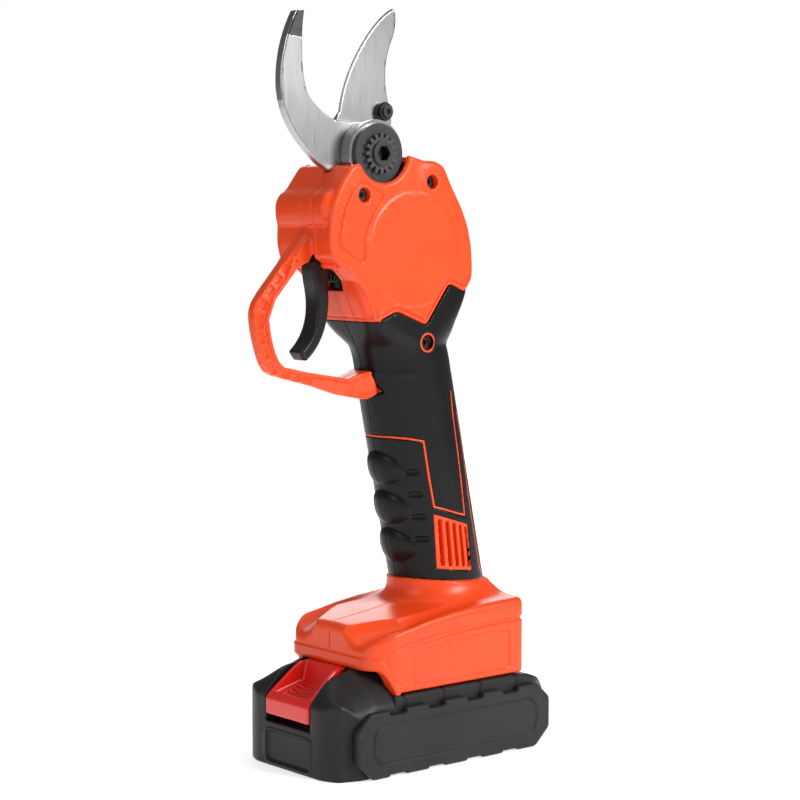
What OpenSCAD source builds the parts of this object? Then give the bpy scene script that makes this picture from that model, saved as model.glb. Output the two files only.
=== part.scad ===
// Battery electric pruner: a pistol-shaped cutter on a slide-on battery pack.
// Millimetres, +Z up. The origin is the centre of the pack's base.
// -X is the front (trigger and latch), -Y is the left side, y = 0 is the centre plane.

/* [Battery pack] */
// Width of the pack across its bumpers
pack_w = 76; // [76:0.5:80]
// Height of the pack's case at its sides
pack_h = 34; // [34:0.5:35]
// Diameter of a cell
cell_d = 18.4; // [18:0.1:18.5]
// Length of a cell
cell_len = 65; // [64:0.5:66]
// Distance between cells
cell_pitch = 19.2; // [18.8:0.1:19.4]

/* [Handle] */
// Width of the grip, side to side
grip_w = 38; // [37:0.5:39]
// Depth of the grip, front to back, measured level
grip_depth = 46; // [45:0.5:47]
// Lean of the handle from upright, in degrees
handle_lean = 11.7; // [11:0.1:12.5]
// Thickness of the soft overmould
soft_t = 2.2; // [1.8:0.1:2.4]
// Wall thickness of the housing
wall = 2.4; // [2:0.1:2.6]

/* [Head] */
// Width of the head, side to side
head_w = 38; // [37.6:0.1:39]
// Pivot of the blades: distance in front of the origin
pivot_front = 25.5; // [25:0.1:26]
// Pivot of the blades: height
pivot_z = 267; // [266:0.5:268]
// Lean of the drive axis from upright, in degrees
drive_lean = 12; // [11.5:0.1:12.5]

/* [Blades] */
// Thickness of the hook blade
hook_t = 4; // [3.5:0.1:4]
// Thickness of the moving blade
blade_t = 3.3; // [3:0.1:3.3]
// Radius of the pivot bush
bush_r = 7; // [6:0.5:7.5]
// Radial running clearance of shafts and bores
fit_gap = 0.05; // [0.03:0.01:0.08]

/* [Gears] */
// Teeth on the sector gear, counted as a full circle
sector_teeth = 36; // [36, 48]
// Teeth on the bevel pinion
bevel_teeth = 12; // [12, 16]
// Module of the bevel gears at their large end
bevel_m = 1.2; // [1.15:0.01:1.2]
// Module of the planetary gears
planet_m = 0.6; // [0.59:0.005:0.6]
// Teeth on a sun gear
sun_teeth = 12; // [12]
// Teeth on a planet gear
planet_teeth = 15; // [15]
// Teeth on the ring gear
ring_teeth = 42; // [42]

/* [Hidden] */
eps = 0.02;
ORANGE = [0.95, 0.33, 0.14];
BLACK = [0.1, 0.1, 0.11];
CHARCOAL = [0.2, 0.2, 0.21];
STEEL = [0.75, 0.76, 0.78];
CASTING = [0.66, 0.67, 0.68];
RED = [0.85, 0.1, 0.05];
COPPER = [0.75, 0.42, 0.2];
BOARD = [0.1, 0.35, 0.16];
BRASS = [0.78, 0.62, 0.3];

pivot = [-pivot_front, 0, pivot_z];
half_w = head_w / 2;
// The handle's axis at a height: it leans forward towards the top
function handle_x(z) = 20 - tan(handle_lean) * (z - 77);
// Layers of the blade stack, from the left side to the right, on the pivot's axis
y_disc = [-15, -13.1];
y_washer = [-13.1, -12];
y_boss = [-12, -5.7];
y_hook = [-5.7, -5.7 + hook_t];
y_blade = [-1.3, -1.3 + blade_t];
y_gear_hub = [y_blade[1], 9];
y_right_arm = [9.2, 14.4];
// Bevel gears: their cones meet at the pivot
sector_r = bevel_m * sector_teeth / 2;
bevel_r = bevel_m * bevel_teeth / 2;
cone_dist = norm([sector_r, bevel_r]);
pinion_cone = atan(bevel_r / sector_r);
// Planetary gears
planet_orbit = planet_m * (sun_teeth + planet_teeth) / 2;
tooth_play = 0.05;
// Stations along the drive axis, measured from the pivot
pinion_face = 15.2;
s_bearing = 25.6;
s_output = 32.2;
s_stage2 = 35.4;
s_carrier1 = 42.2;
s_stage1 = 45.2;
s_motor = 52.4;
s_motor_end = 79.6;
case_r = 15.8;
can_r = 14;
shaft_r = 2;
output_r = 3;
planet_pin_r = 1.5;
// Battery pack and foot
foot_floor = 34.4;
foot_half_w = 33;
block_top = 45;
rail_z = [37.3, 39.6];
pack_wall = 1.6;
pack_half = pack_w / 2;
case_half = 34.6;
// Height of the seam between the bosses of the case and of the cover
boss_seam = 17.4;
cell_z = 4.4 + cell_d / 2;
cell_x = [for (i = [-2:2]) cell_pitch * i];
battery_screw_at = [[-56, -20], [-56, 20], [56, -20], [56, 20]];
// Trigger, its return spring and its slot, whose half width this is
trigger_slot = 5.6;
trigger_pin_at = [-48.5, 219.5];
spring_z = 214.4;
// Height where the grip ends and the red front of the neck begins
lip_z = 194.6;
// Screw bosses of the head and grip: [x, z, y where the left boss ends, y where the right boss ends]
side_screws = [[-36.7, 249.2, -11.7, 14.5], [1.1, 255, -11.7, 14.5], [-1, 184.7, 0, 0]];
bracket_screws = [[-36.7, 249.2], [1.1, 255]];
grip_screw = [-1, 184.7];
// Depth of the screws' counterbores on the left and right side, and of the heads in them
bore_depth = [5, 3.4];
head_depth = [2.8, 1.2];
// Screws that close the foot from the right side
foot_screws = [[39.5, 56], [-30, 51.5], [20, 92]];
blade_screw_at = [[-35.2, 262.6], [-17, 260.5]];
boss_at = [-12.9, 285.6];
gear_screw_at = [for (a = [35, 215]) [-pivot_front + 10.4 * cos(a), pivot_z + 10.4 * sin(a)]];

// ---- Helpers ----

// Places a 2-D outline drawn in x and z between two y planes
module plate(y0, y1) {
    translate([0, y1, 0]) rotate([90, 0, 0]) linear_extrude(y1 - y0) children();
}

// A cylinder along Y at [x, z] between two y planes
module y_rod(p, r, y0, y1, n = 48) {
    translate([p[0], y1, p[1]]) rotate([90, 0, 0]) cylinder(h = y1 - y0, r = r, $fn = n);
}

// Rounds an outline's corners, inner and outer
module soften(r) {
    offset(r = r, $fn = 24) offset(delta = -r) offset(delta = -r) offset(r = r, $fn = 24) children();
}

// Moves children drawn along +Z from the pivot onto the drive axis, which runs down through the handle
module on_drive(s = 0) {
    translate(pivot) rotate([0, 180 - drive_lean, 0]) translate([0, 0, s]) children();
}

// Keeps the left (side = -1) or right (side = 1) half of its children
module half_of(side) {
    intersection() {
        children();
        translate([-150, side < 0 ? -100 : 0, -10]) cube([300, 100, 400]);
    }
}

// Points of a cubic curve
function curve(a, b, c, d, n = 8) = [for (i = [0:n]) let (t = i / n, u = 1 - t)
    u * u * u * a + 3 * u * u * t * b + 3 * u * t * t * c + t * t * t * d];

// Involute helpers for gear outlines, angles in degrees
function involute_turn(r, base) =
    r <= base ? 0 : (sqrt(r * r / (base * base) - 1) * 180 / PI - acos(base / r));
function flank(r, m, teeth, thin) = let (p = m * teeth / 2, b = p * cos(20))
    90 / teeth - thin * 90 / (PI * p) - (involute_turn(r, b) - involute_turn(p, b));

// Outline of a spur gear with a tooth on +X; thin takes play off each flank
function gear_points(m, teeth, add, ded, thin) =
    let (p = m * teeth / 2, rises = [-ded, -0.3, 0.3, add, add, 0.3, -0.3, -ded])
    [for (k = [0:teeth - 1]) for (i = [0:7])
        let (r = p + rises[i] * m, turn = (i < 4 ? -1 : 1) * flank(r, m, teeth, thin),
             a = 360 * k / teeth + turn)
            r * [cos(a), sin(a)]];

module gear(m, teeth, add, ded, thin, h) {
    linear_extrude(h) polygon(gear_points(m, teeth, add, ded, thin));
}

// ---- Side outlines, in x and z ----

// Head of the housing, seen from the left; the arc for the lock disc is cut out of it
module head_outline() {
    difference() {
        soften(1.6) polygon([
            [-40, 262.4], [-14.4, 267.2], [-1.7, 264], [3.9, 263.8], [8.4, 261.8], [13.9, 252.2],
            [19.4, 243.3],
            [22.8, 235.6], [24.9, 227.2], [25.6, 217], [25.3, 212.2], [21.1, 206.2], [11.7, 210.2],
            [-1.7, 192],
            [-18.3, 198.7], [-30.6, 193.9], [-33.9, 202.8], [-38.3, 210], [-45, 216.7], [-54.4, 221.7],
            [-56, 229], [-55.6, 237], [-53.8, 245], [-49.6, 253.4], [-43.4, 261.4]]);
        translate([-pivot_front, pivot_z + 1.4]) {
            circle(r = 14, $fn = 48);
            polygon([[-12.7, -6], [0, 0], [0, 20], [-30, 20]]);
        }
    }
}

// Neck between the head and the round part of the handle
module neck_outline(inset = 0) {
    offset(delta = -inset) polygon([
        [-26.5, 180], [-29, 186], [-33.5, 196], [-38, 206], [-40, 215], [0, 232], [22, 214], [20.6, 204],
        [18.6, 192], [19.8, 180]]);
}

// Trigger guard, closed into the head at its top and into the grip at its bottom
module guard_outline() {
    polygon(concat(
        [[-50, 237], [-57, 232], [-66.9, 221.3], [-82, 204.4]],
        curve([-83.4, 201], [-84, 196], [-81, 184], [-78.1, 177.5], 5),
        curve([-76, 174.6], [-73, 172], [-66, 171], [-52.5, 167.3], 5),
        [[-37.5, 162.5], [-24, 160.3], [-20, 168], [-24, 172], [-34.2, 169.6], [-56.7, 173.5]],
        curve([-69.2, 176.3], [-74, 179], [-76.6, 190], [-77, 197], 6),
        [[-73.6, 205], [-62.3, 217.6], [-57, 220.4], [-50, 220.4]]));
}

// ---- Housing ----

// The handle's oval, grown or shrunk by d
module oval(d = 0) {
    scale([(grip_depth / 2 + d) / (grip_w / 2 + d), 1]) circle(r = grip_w / 2 + d, $fn = 56);
}

// A leaning oval prism of the handle, from one height to another
module handle_prism(d, z0, z1) {
    lean_h = (z1 - z0) / cos(handle_lean);
    translate([handle_x(z0), 0, z0]) rotate([0, -handle_lean, 0]) linear_extrude(lean_h) oval(d);
}

// Plan of the foot, shrunk by d
module foot_plan(d = 0) {
    offset(delta = -d) offset(r = 4, $fn = 24) offset(delta = -4)
        polygon([[-42, -24], [-42, 24], [-31, foot_half_w], [45, foot_half_w], [45, -foot_half_w],
                 [-31, -foot_half_w]]);
}

// Foot: a slab with a flared collar up to the handle
// d shrinks it, top grows the oval that the collar ends in
module foot_body(d = 0, top = 1) {
    difference() {
        union() {
            translate([0, 0, foot_floor + d]) linear_extrude(66 - foot_floor - 2 * d) foot_plan(d);
            hull() {
                translate([0, 0, 65.9 - 2 * d]) linear_extrude(0.5) offset(delta = -2) foot_plan(d);
                translate([1, 0, 71 - d]) linear_extrude(0.5) scale([0.84, 0.84]) foot_plan(d);
            }
            hull() {
                translate([1, 0, 70.5 - d]) linear_extrude(0.5) scale([0.84, 0.84]) foot_plan(d);
                translate([handle_x(84), 0, 84]) linear_extrude(0.5) oval(top);
            }
        }
        // The front slopes back towards the top
        plate(-40, 40) polygon([[-43, 60 - d], [-43, 90], [-8, 90], [-20 + d, 72 - d], [-42 + d, 62 - d]]);
    }
}

// The pocket under the foot that the pack's block slides into, and the two rails in it
module foot_pocket() {
    difference() {
        translate([-50, -27.3, 30]) cube([88, 54.6, block_top + 1.5 - 30]);
        for (side = [-1, 1]) translate([-30, side > 0 ? 20.6 : -28, rail_z[0]])
            cube([68.5, 7.4, rail_z[1] - rail_z[0]]);
    }
}

module housing_solid() {
    plate(-half_w, half_w) head_outline();
    plate(-5, 5) guard_outline();
    // Lug that stands forward above the trigger
    plate(-15, 15) translate([-52, 243.4]) rotate(8) soften(3) square([12, 13.5], center = true);
    difference() {
        handle_prism(-soft_t, 78, 190);
        translate([-60, -40, 0]) cube([120, 80, 79]);
    }
    plate(-half_w + soft_t, half_w - soft_t) neck_outline(soft_t);
    neck_front();
    foot_body();
}

// Front of the neck behind the trigger, which the grip leaves bare
module neck_front(d = 0) {
    intersection() {
        plate(-half_w + 0.3 - d, half_w - 0.3 + d) neck_outline(-d);
        translate([-60, -30, lip_z - d]) cube([33 + d, 60, 40]);
    }
}

module housing_hollow() {
    inner_half = half_w - wall;
    plate(-inner_half, inner_half) offset(delta = -wall) head_outline();
    handle_prism(-soft_t - wall, 70, 192);
    plate(-inner_half + soft_t, inner_half - soft_t) neck_outline(soft_t + wall);
    intersection() {
        foot_body(wall, -soft_t - wall);
        translate([-60, -40, 49]) cube([120, 80, 60]);
    }
    foot_pocket();
    // Slot that the blades and the pivot stack come out of, open over the whole top of the pivot
    plate(-half_w + wall, half_w - wall) translate([-pivot_front, pivot_z]) circle(r = 16.5, $fn = 48);
    plate(y_hook[0] - 0.4, y_blade[0]) offset(delta = 0.4) hook_outline();
    plate(y_blade[0] - eps, y_gear_hub[1] + 0.4) translate([-41.4, 250]) square([30, 23]);
    // Slot that the trigger turns in
    plate(-trigger_slot, trigger_slot)
        polygon([[-54.4, 208], [-54.4, 219], [-53.7, 224.6], [-28.4, 224.6], [-28.4, 208]]);
    // Window for the terminal block
    translate([-2, -16, block_top]) cube([38, 32, 6]);
}

// Bosses inside the shell that take the side screws, the bracket and the trigger pin
module housing_bosses(side) {
    for (s = side_screws) y_rod([s[0], s[1]], 3.6, side > 0 ? s[3] : -half_w, side > 0 ? half_w : s[2]);
    y_rod(trigger_pin_at, 3.4, side > 0 ? 5.8 : -half_w + 0.5, side > 0 ? half_w - 0.5 : -5.8);
    for (s = foot_screws)
        y_rod(s, 3.4, side > 0 ? 0 : -foot_half_w + 14, side > 0 ? foot_half_w - 14 : 0);
}

module housing_half(side) {
    half_of(side) difference() {
        union() {
            difference() {
                housing_solid();
                housing_hollow();
            }
            intersection() {
                housing_bosses(side);
                union() {
                    handle_prism(-soft_t, 79, 188);
                    plate(-half_w, half_w) offset(delta = -0.2) union() { head_outline(); neck_outline(2); }
                    foot_body(0.3, 0.7);
                }
            }
        }
        // Screw holes and the counterbores of their heads
        for (s = side_screws) {
            y_rod([s[0], s[1]], 1.7, -40, 40, 24);
            depth = bore_depth[side < 0 ? 0 : 1];
            y_rod([s[0], s[1]], 3.1, side * half_w - depth, side * half_w + depth, 32);
        }
        for (s = foot_screws) {
            y_rod(s, side > 0 ? 1.7 : 1.32, -foot_half_w + 20, 50, 24);
            if (side > 0) y_rod(s, 3.1, s[1] > 80 ? 14 : 22, 50, 32);
        }
        y_rod(trigger_pin_at, 1.5, -15, 15, 32);
        // Vent slots at the foot of the handle
        for (i = [0:4]) translate([9.4 + 3.5 * i, 0, 92 - 0.6 * i]) rotate([0, -handle_lean, 0])
            translate([-0.9, side < 0 ? -30 : 10, -8]) cube([1.8, 20, 18]);
    }
}

module housing_left() { color(ORANGE) housing_half(-1); }
module housing_right() { color(ORANGE) housing_half(1); }

// Soft overmould: a sleeve on the handle with finger bumps, up to the head's lower edge
module grip_half(side) {
    difference() {
        half_of(side) difference() {
            union() {
                handle_prism(0, 82, 189);
                plate(-half_w + 0.3, half_w - 0.3) neck_outline();
                for (z = [93.5, 111, 128.5])
                    translate([handle_x(z) - 16.6, 0, z]) rotate([0, -handle_lean, 0])
                    rotate_extrude($fn = 48) intersection() {
                        translate([1.2, 0]) circle(r = 8, $fn = 40);
                        translate([0, -9]) square([10, 18]);
                    }
            }
            handle_prism(-soft_t, 70, 195);
            plate(-half_w + soft_t, half_w - soft_t) neck_outline(soft_t);
            plate(-half_w - 1, half_w + 1) offset(delta = 0.02) head_outline();
            plate(-5.02, 5.02) offset(delta = 0.02) guard_outline();
            neck_front(eps);
            foot_body(-eps, 1 + eps);
            y_rod(grip_screw, 3.9, -30, 30);
            y_rod(foot_screws[2], 4.2, 5, 40);
            // Window that shows the vent of the housing
            plate(-40, 40) polygon([[5.2, 108.2], [23.4, 102], [25.8, 81.2], [8.2, 82.8]]);
        }
        plate(-15.02, 15.02) translate([-52, 243.4]) rotate(8) square([12, 13.5], center = true);
    }
}

module grip_left() { color(BLACK) grip_half(-1); }
module grip_right() { color(BLACK) grip_half(1); }

// ---- Head bracket and blades ----

// One arm of the bracket: around the pivot, down to the gear case, with an ear for each screw
module bracket_arm(y0, y1) {
    plate(y0, y1) {
        hull() {
            translate([-pivot_front, pivot_z]) circle(r = 12, $fn = 48);
            for (x = [-30, -11]) translate([x, 243.5]) circle(r = 5, $fn = 32);
        }
        for (i = [0, 1]) hull() {
            translate(bracket_screws[i]) circle(r = 4, $fn = 32);
            translate([i == 0 ? -29 : -10, 247]) circle(r = 4, $fn = 32);
        }
    }
}

module head_bracket() {
    color(CASTING) difference() {
        union() {
            y_rod([-pivot_front, pivot_z], 14, y_boss[0], y_boss[1]);
            bracket_arm(-11.6, -8.2);
            bracket_arm(y_right_arm[0], y_right_arm[1]);
            on_drive(s_bearing - 2) cylinder(h = 8.4, r = case_r, $fn = 64);
        }
        y_rod([-pivot_front, pivot_z], 5, -20, 20);
        for (p = bracket_screws) y_rod(p, 1.3, -20, 20, 24);
        // Seat of the output bearing and the way for the pinion
        on_drive(s_bearing) cylinder(h = 20, r = 9.5, $fn = 64);
        on_drive(10) cylinder(h = 30, r = 8.2, $fn = 48);
        for (p = blade_screw_at) y_rod(p, 1.6, -20, -5, 24);
    }
}

// Hook blade: a crescent from its eye around the pivot up to the pointed tip
module hook_outline() {
    difference() {
        polygon(concat(
            curve([-58.2, 326.8], [-59.9, 316], [-60.4, 303], [-57.6, 294.5], 10),
            curve([-57.2, 293.2], [-55.6, 289.6], [-50.6, 284.4], [-41.6, 281.2], 7),
            [[-36, 280.4], [-26, 281]],
            [for (a = [80:-20:-60]) [-pivot_front + 14 * cos(a), pivot_z + 14 * sin(a)]],
            [[-25, 252.4], [-38, 253.6], [-45, 259.2]],
            curve([-51, 262.6], [-60, 270.5], [-67.5, 277.5], [-70.4, 289], 7),
            curve([-71.2, 294], [-71.8, 304.5], [-69.4, 315.5], [-63, 326.5], 9)));
        translate([-pivot_front, pivot_z]) circle(r = 5, $fn = 48);
        for (p = blade_screw_at) translate(p) circle(r = 2.05, $fn = 24);
    }
}

module fixed_blade() { color(STEEL) plate(y_hook[0], y_hook[1]) hook_outline(); }

// Countersunk screws that hold the hook blade to the bracket
module blade_screws() {
    color(BLACK) for (p = blade_screw_at) {
        y_rod(p, 1.6, -11.6, y_hook[1] - 0.6, 24);
        y_rod(p, 2.05, y_hook[0], y_hook[1] - 0.3, 24);
    }
}

// Moving blade at rest, open: a curved triangle with a round eye
module blade_outline() {
    difference() {
        polygon(concat(
            curve([-6.4, 330.6], [-16.5, 326.6], [-33.8, 305], [-36.6, 285], 12),
            [[-38, 281.7]],
            [for (a = [150:15:350]) [-pivot_front + 13 * cos(a), pivot_z + 13 * sin(a)]],
            [[-9.4, 272], [-7.2, 281.5]],
            curve([-8.4, 288], [-11.2, 296], [-12.4, 306.5], [-6.6, 317.6], 8),
            [[-5.2, 321.5], [-4.7, 325.5], [-5, 328.6]]));
        translate([-pivot_front, pivot_z]) circle(r = bush_r + fit_gap, $fn = 48);
        translate(boss_at) circle(r = 2, $fn = 32);
        for (p = gear_screw_at) translate(p) circle(r = 1.5, $fn = 24);
    }
}

module moving_blade() { color(STEEL) plate(y_blade[0], y_blade[1]) blade_outline(); }

// Sector gear: a bevel face towards the centre plane, a hub behind it against the blade
module sector_gear() {
    half_turn = 90 / sector_teeth;
    tip_a = 90 - pinion_cone + atan(0.9 * bevel_m / cone_dist);
    pitch_a = 90 - pinion_cone;
    root_a = 90 - pinion_cone - atan(1.15 * bevel_m / cone_dist);
    // Half angles of a tooth at its tip, pitch line and root, thinned for play
    tip_w = half_turn - 1.15;
    pitch_w = half_turn - 0.25;
    root_w = half_turn + 0.95;
    tooth = [[-root_w, root_a], [-pitch_w, pitch_a], [-tip_w, tip_a], [tip_w, tip_a], [pitch_w, pitch_a],
             [root_w, root_a]];
    face_y = 3.4;
    y1 = y_gear_hub[1];
    mesh_a = -90 + drive_lean;
    color(CASTING) difference() {
        union() {
            intersection() {
                y_rod([-pivot_front, pivot_z], sector_r + 1, 0, y1, 96);
                // The tooth cone grows from the pivot's centre
                translate(pivot) rotate([90, 0, 0]) mirror([0, 0, 1]) translate([0, 0, face_y])
                    linear_extrude(height = y1 - face_y, scale = y1 / face_y)
                        polygon([for (k = [0:sector_teeth - 1]) for (q = tooth)
                            let (r = face_y * tan(q[1]), a = mesh_a + 360 * k / sector_teeth + q[0])
                                r * [cos(a), sin(a)]]);
                // Only the sector that the pinion meets
                plate(0, 12) translate([-pivot_front, pivot_z])
                    polygon(concat([[0, 3]], [for (a = [-139, -120, -100, -80, -66]) 40 * [cos(a), sin(a)]]));
            }
            y_rod([-pivot_front, pivot_z], 12.8, y_gear_hub[0], y1);
        }
        y_rod([-pivot_front, pivot_z], bush_r + fit_gap, -1, 12);
        for (p = gear_screw_at) y_rod(p, 1.25, 0, 12, 24);
    }
}

// Stop boss on the moving blade's near face, with its screw
module blade_boss() {
    color(BLACK) difference() {
        union() {
            y_rod(boss_at, 3.7, -4.8, y_blade[0]);
            y_rod(boss_at, 4.2, -3.6, y_blade[0]);
        }
        y_rod(boss_at, 2, -10, 0, 32);
    }
}

module blade_boss_screw() {
    color(BLACK) difference() {
        union() {
            y_rod(boss_at, 2, -4.8, y_blade[1] + 1.2, 32);
            y_rod(boss_at, 2.5, -6, -4.8, 32);
        }
        y_rod(boss_at, 1.3, -7, -5.2, 6);
    }
}

// Pivot stack
module pivot_ring(r, hole, ys) {
    difference() {
        y_rod([-pivot_front, pivot_z], r, ys[0], ys[1], 64);
        y_rod([-pivot_front, pivot_z], hole, ys[0] - 1, ys[1] + 1);
    }
}

module thrust_washer() { color(STEEL) pivot_ring(14.6, 5, y_washer); }

module lock_disc() { color(BLACK) pivot_ring(12.9, 5, y_disc); }

// Toothed washer that locks the bolt's setting
module spline_washer() {
    teeth = 16;
    color(BLACK) difference() {
        plate(-17, y_disc[0]) translate([-pivot_front, pivot_z]) polygon([for (k = [0:teeth - 1])
            for (q = [[-0.3, 6.8], [-0.2, 8.7], [0.2, 8.7], [0.3, 6.8]])
                q[1] * [cos((k + q[0]) * 360 / teeth), sin((k + q[0]) * 360 / teeth)]]);
        y_rod([-pivot_front, pivot_z], 5, -20, -10);
    }
}

module pivot_bolt() {
    color(BLACK) difference() {
        union() {
            y_rod([-pivot_front, pivot_z], 5, -17.6, 14.4);
            y_rod([-pivot_front, pivot_z], 4.4, -17.6, 18.2);
            y_rod([-pivot_front, pivot_z], 5.4, -18.4, -17);
        }
        y_rod([-pivot_front, pivot_z], 3.5, -20, -14.6, 6);
    }
}

module pivot_nut() {
    color(BLACK) difference() {
        y_rod([-pivot_front, pivot_z], 8, 14.4, 18, 6);
        y_rod([-pivot_front, pivot_z], 4.4, 10, 20);
    }
}

module pivot_bush() { color(BRASS) pivot_ring(bush_r, 5, [y_hook[1], y_right_arm[0]]); }

// ---- Gearbox and motor ----

module gear_case() {
    color(CASTING) difference() {
        on_drive(s_bearing + 6.4) cylinder(h = s_motor - s_bearing - 6.4, r = case_r, $fn = 64);
        on_drive(s_output - 1) cylinder(h = 40, r = 14.4, $fn = 64);
    }
}

module ring_gear() {
    color(STEEL) on_drive(s_output + 0.6) difference() {
        cylinder(h = s_motor - s_output - 0.6, r = 14.4, $fn = 64);
        translate([0, 0, -1]) gear(planet_m, ring_teeth, 1.2, 0.85, -tooth_play, 30);
    }
}

module output_bearing() {
    color(STEEL) on_drive(s_bearing) {
        difference() {
            cylinder(h = 6, r = 9.5, $fn = 64);
            translate([0, 0, -1]) cylinder(h = 8, r = output_r + fit_gap, $fn = 32);
            translate([0, 0, 5.3]) difference() {
                cylinder(h = 2, r = 8.2, $fn = 48);
                translate([0, 0, -1]) cylinder(h = 4, r = 4.8, $fn = 48);
            }
        }
    }
}

// Pinion of the bevel pair, cut as a cone whose point is at the pivot
module bevel_pinion() {
    color(STEEL) on_drive() difference() {
        union() {
            translate([0, 0, pinion_face])
                linear_extrude(height = sector_r - pinion_face, scale = sector_r / pinion_face)
                scale(pinion_face / sector_r) rotate(90 + 180 / bevel_teeth)
                    polygon(gear_points(bevel_m, bevel_teeth, 0.9, 1.15, 0.16));
            translate([0, 0, sector_r - eps]) cylinder(h = s_bearing - sector_r - 0.2, r = 5, $fn = 48);
        }
        translate([0, 0, pinion_face - 1]) cylinder(h = 20, r = output_r, $fn = 32);
    }
}

// Places children at the three planets of a stage
module at_planet(i) {
    rotate(120 * i) translate([planet_orbit, 0, 0]) rotate(-120 * i) children();
}

// A planet carrier plate with its three pins
module carrier_plate(h, pin_len) {
    cylinder(h = h, r = 11.2, $fn = 64);
    for (i = [0:2]) at_planet(i) translate([0, 0, h - eps]) cylinder(h = pin_len, r = planet_pin_r, $fn = 32);
}

module output_carrier() {
    color(STEEL) on_drive() {
        translate([0, 0, pinion_face]) cylinder(h = s_output + 1 - pinion_face, r = output_r, $fn = 32);
        translate([0, 0, s_output + 0.7]) carrier_plate(2.2, 5.6);
    }
}

module first_carrier() {
    color(STEEL) on_drive() {
        translate([0, 0, s_stage2 + 0.2]) gear(planet_m, sun_teeth, 0.85, 1.1, tooth_play, 5.4);
        translate([0, 0, s_carrier1 - 1.6]) cylinder(h = 1.7, r = 2.8, $fn = 32);
        translate([0, 0, s_carrier1]) carrier_plate(2.2, 5.6);
    }
}

// Planet i of a stage: its teeth are turned to mesh with the sun and the ring
module planet(stage_s, i) {
    turn = 120 * i + 180 - 180 / planet_teeth + 120 * i * sun_teeth / planet_teeth;
    color(BRASS) on_drive(stage_s) at_planet(i) difference() {
        rotate(turn) gear(planet_m, planet_teeth, 0.85, 1.1, tooth_play, 5);
        translate([0, 0, -1]) cylinder(h = 8, r = planet_pin_r + fit_gap, $fn = 32);
    }
}

module planet_1a() { planet(s_stage1, 0); }
module planet_1b() { planet(s_stage1, 1); }
module planet_1c() { planet(s_stage1, 2); }
module planet_2a() { planet(s_stage2, 0); }
module planet_2b() { planet(s_stage2, 1); }
module planet_2c() { planet(s_stage2, 2); }

module motor_can() {
    color(STEEL) on_drive(s_motor) difference() {
        cylinder(h = 24, r = can_r, $fn = 64);
        translate([0, 0, 1.6]) cylinder(h = 30, r = can_r - 1.2, $fn = 64);
        translate([0, 0, -1]) cylinder(h = 5, r = 4.5, $fn = 48);
    }
}

module motor_end_cap() {
    color(BLACK) on_drive(s_motor + 24) difference() {
        cylinder(h = s_motor_end - s_motor - 24, r = can_r, $fn = 64);
        translate([0, 0, -1]) cylinder(h = 3.2, r = 4.5, $fn = 48);
        for (i = [0:2]) rotate(-30 + 30 * i) translate([10.4, 0, -1]) cylinder(h = 8, r = 1.2, $fn = 24);
    }
}

module motor_bearings() {
    color(STEEL) for (s = [s_motor, s_motor + 22.8]) on_drive(s) difference() {
        cylinder(h = 3.2, r = 4.5, $fn = 48);
        translate([0, 0, -1]) cylinder(h = 6, r = shaft_r + fit_gap, $fn = 32);
    }
}

// Stator: a ring with six wound poles
module motor_windings() {
    color(COPPER) on_drive(s_motor + 5) {
        difference() {
            cylinder(h = 15, r = can_r - 1.2, $fn = 64);
            translate([0, 0, -1]) cylinder(h = 17, r = can_r - 2.4, $fn = 64);
        }
        for (i = [0:5]) rotate(60 * i) difference() {
            translate([8.2, -2.6, 1]) cube([3.6, 5.2, 13]);
            translate([0, 0, -1]) cylinder(h = 17, r = 8.4, $fn = 64);
        }
    }
}

module motor_rotor() {
    color(CHARCOAL) on_drive(s_motor + 5.5) difference() {
        cylinder(h = 14, r = 7.8, $fn = 48);
        translate([0, 0, -1]) cylinder(h = 16, r = shaft_r, $fn = 32);
    }
}

// Motor shaft with the first sun gear cut on its end
module motor_shaft() {
    color(STEEL) on_drive() {
        translate([0, 0, s_stage1 + 0.3]) gear(planet_m, sun_teeth, 0.85, 1.1, tooth_play, 5.2);
        translate([0, 0, s_stage1 + 5.3])
            cylinder(h = s_motor + 25.8 - s_stage1 - 5.3, r = shaft_r, $fn = 32);
    }
}

// ---- Trigger ----

module trigger() {
    color(BLACK) difference() {
        plate(-4.9, 4.9) offset(r = 0.8, $fn = 24) offset(delta = -0.8) polygon(concat(
            [[-51, 223.6], [-53.4, 221], [-53.4, 217.5]],
            curve([-52.6, 212], [-49.6, 201], [-50.6, 190], [-60.6, 182.2], 10),
            curve([-57.4, 178], [-50, 183], [-45, 192], [-44.7, 204], 8),
            [[-45, 212], [-43.8, 219], [-45.6, 223.6]]));
        y_rod(trigger_pin_at, 1.5 + fit_gap, -10, 10, 32);
        // Pocket that holds the spring's end
        translate([-46.6, 0, spring_z]) rotate([0, 90, 0]) cylinder(h = 5, r = 3.4, $fn = 32);
    }
}

module trigger_pin() { color(STEEL) y_rod(trigger_pin_at, 1.5, -15, 15, 32); }

// A coil spring along +Z, as a wire swept round a helix
module coil(r, wire, turns, pitch) {
    steps = 16;
    sides = 8;
    n = turns * steps;
    points = [for (i = [0:n]) for (j = [0:sides - 1])
        let (a = 360 * i / steps, b = 360 * j / sides, q = r + wire * cos(b))
            [q * cos(a), q * sin(a), pitch * i / steps + wire * sin(b)]];
    sides_f = [for (i = [0:n - 1]) for (j = [0:sides - 1]) let (k = (j + 1) % sides)
        [i * sides + k, (i + 1) * sides + k, (i + 1) * sides + j, i * sides + j]];
    ends = [[for (j = [sides - 1:-1:0]) j], [for (j = [0:sides - 1]) n * sides + j]];
    polyhedron(points, concat(ends, sides_f), 4);
}

module trigger_spring() {
    color(STEEL) translate([-45.9, 0, spring_z]) rotate([0, 90, 0]) coil(2.6, 0.4, 5, 2);
}

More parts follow.
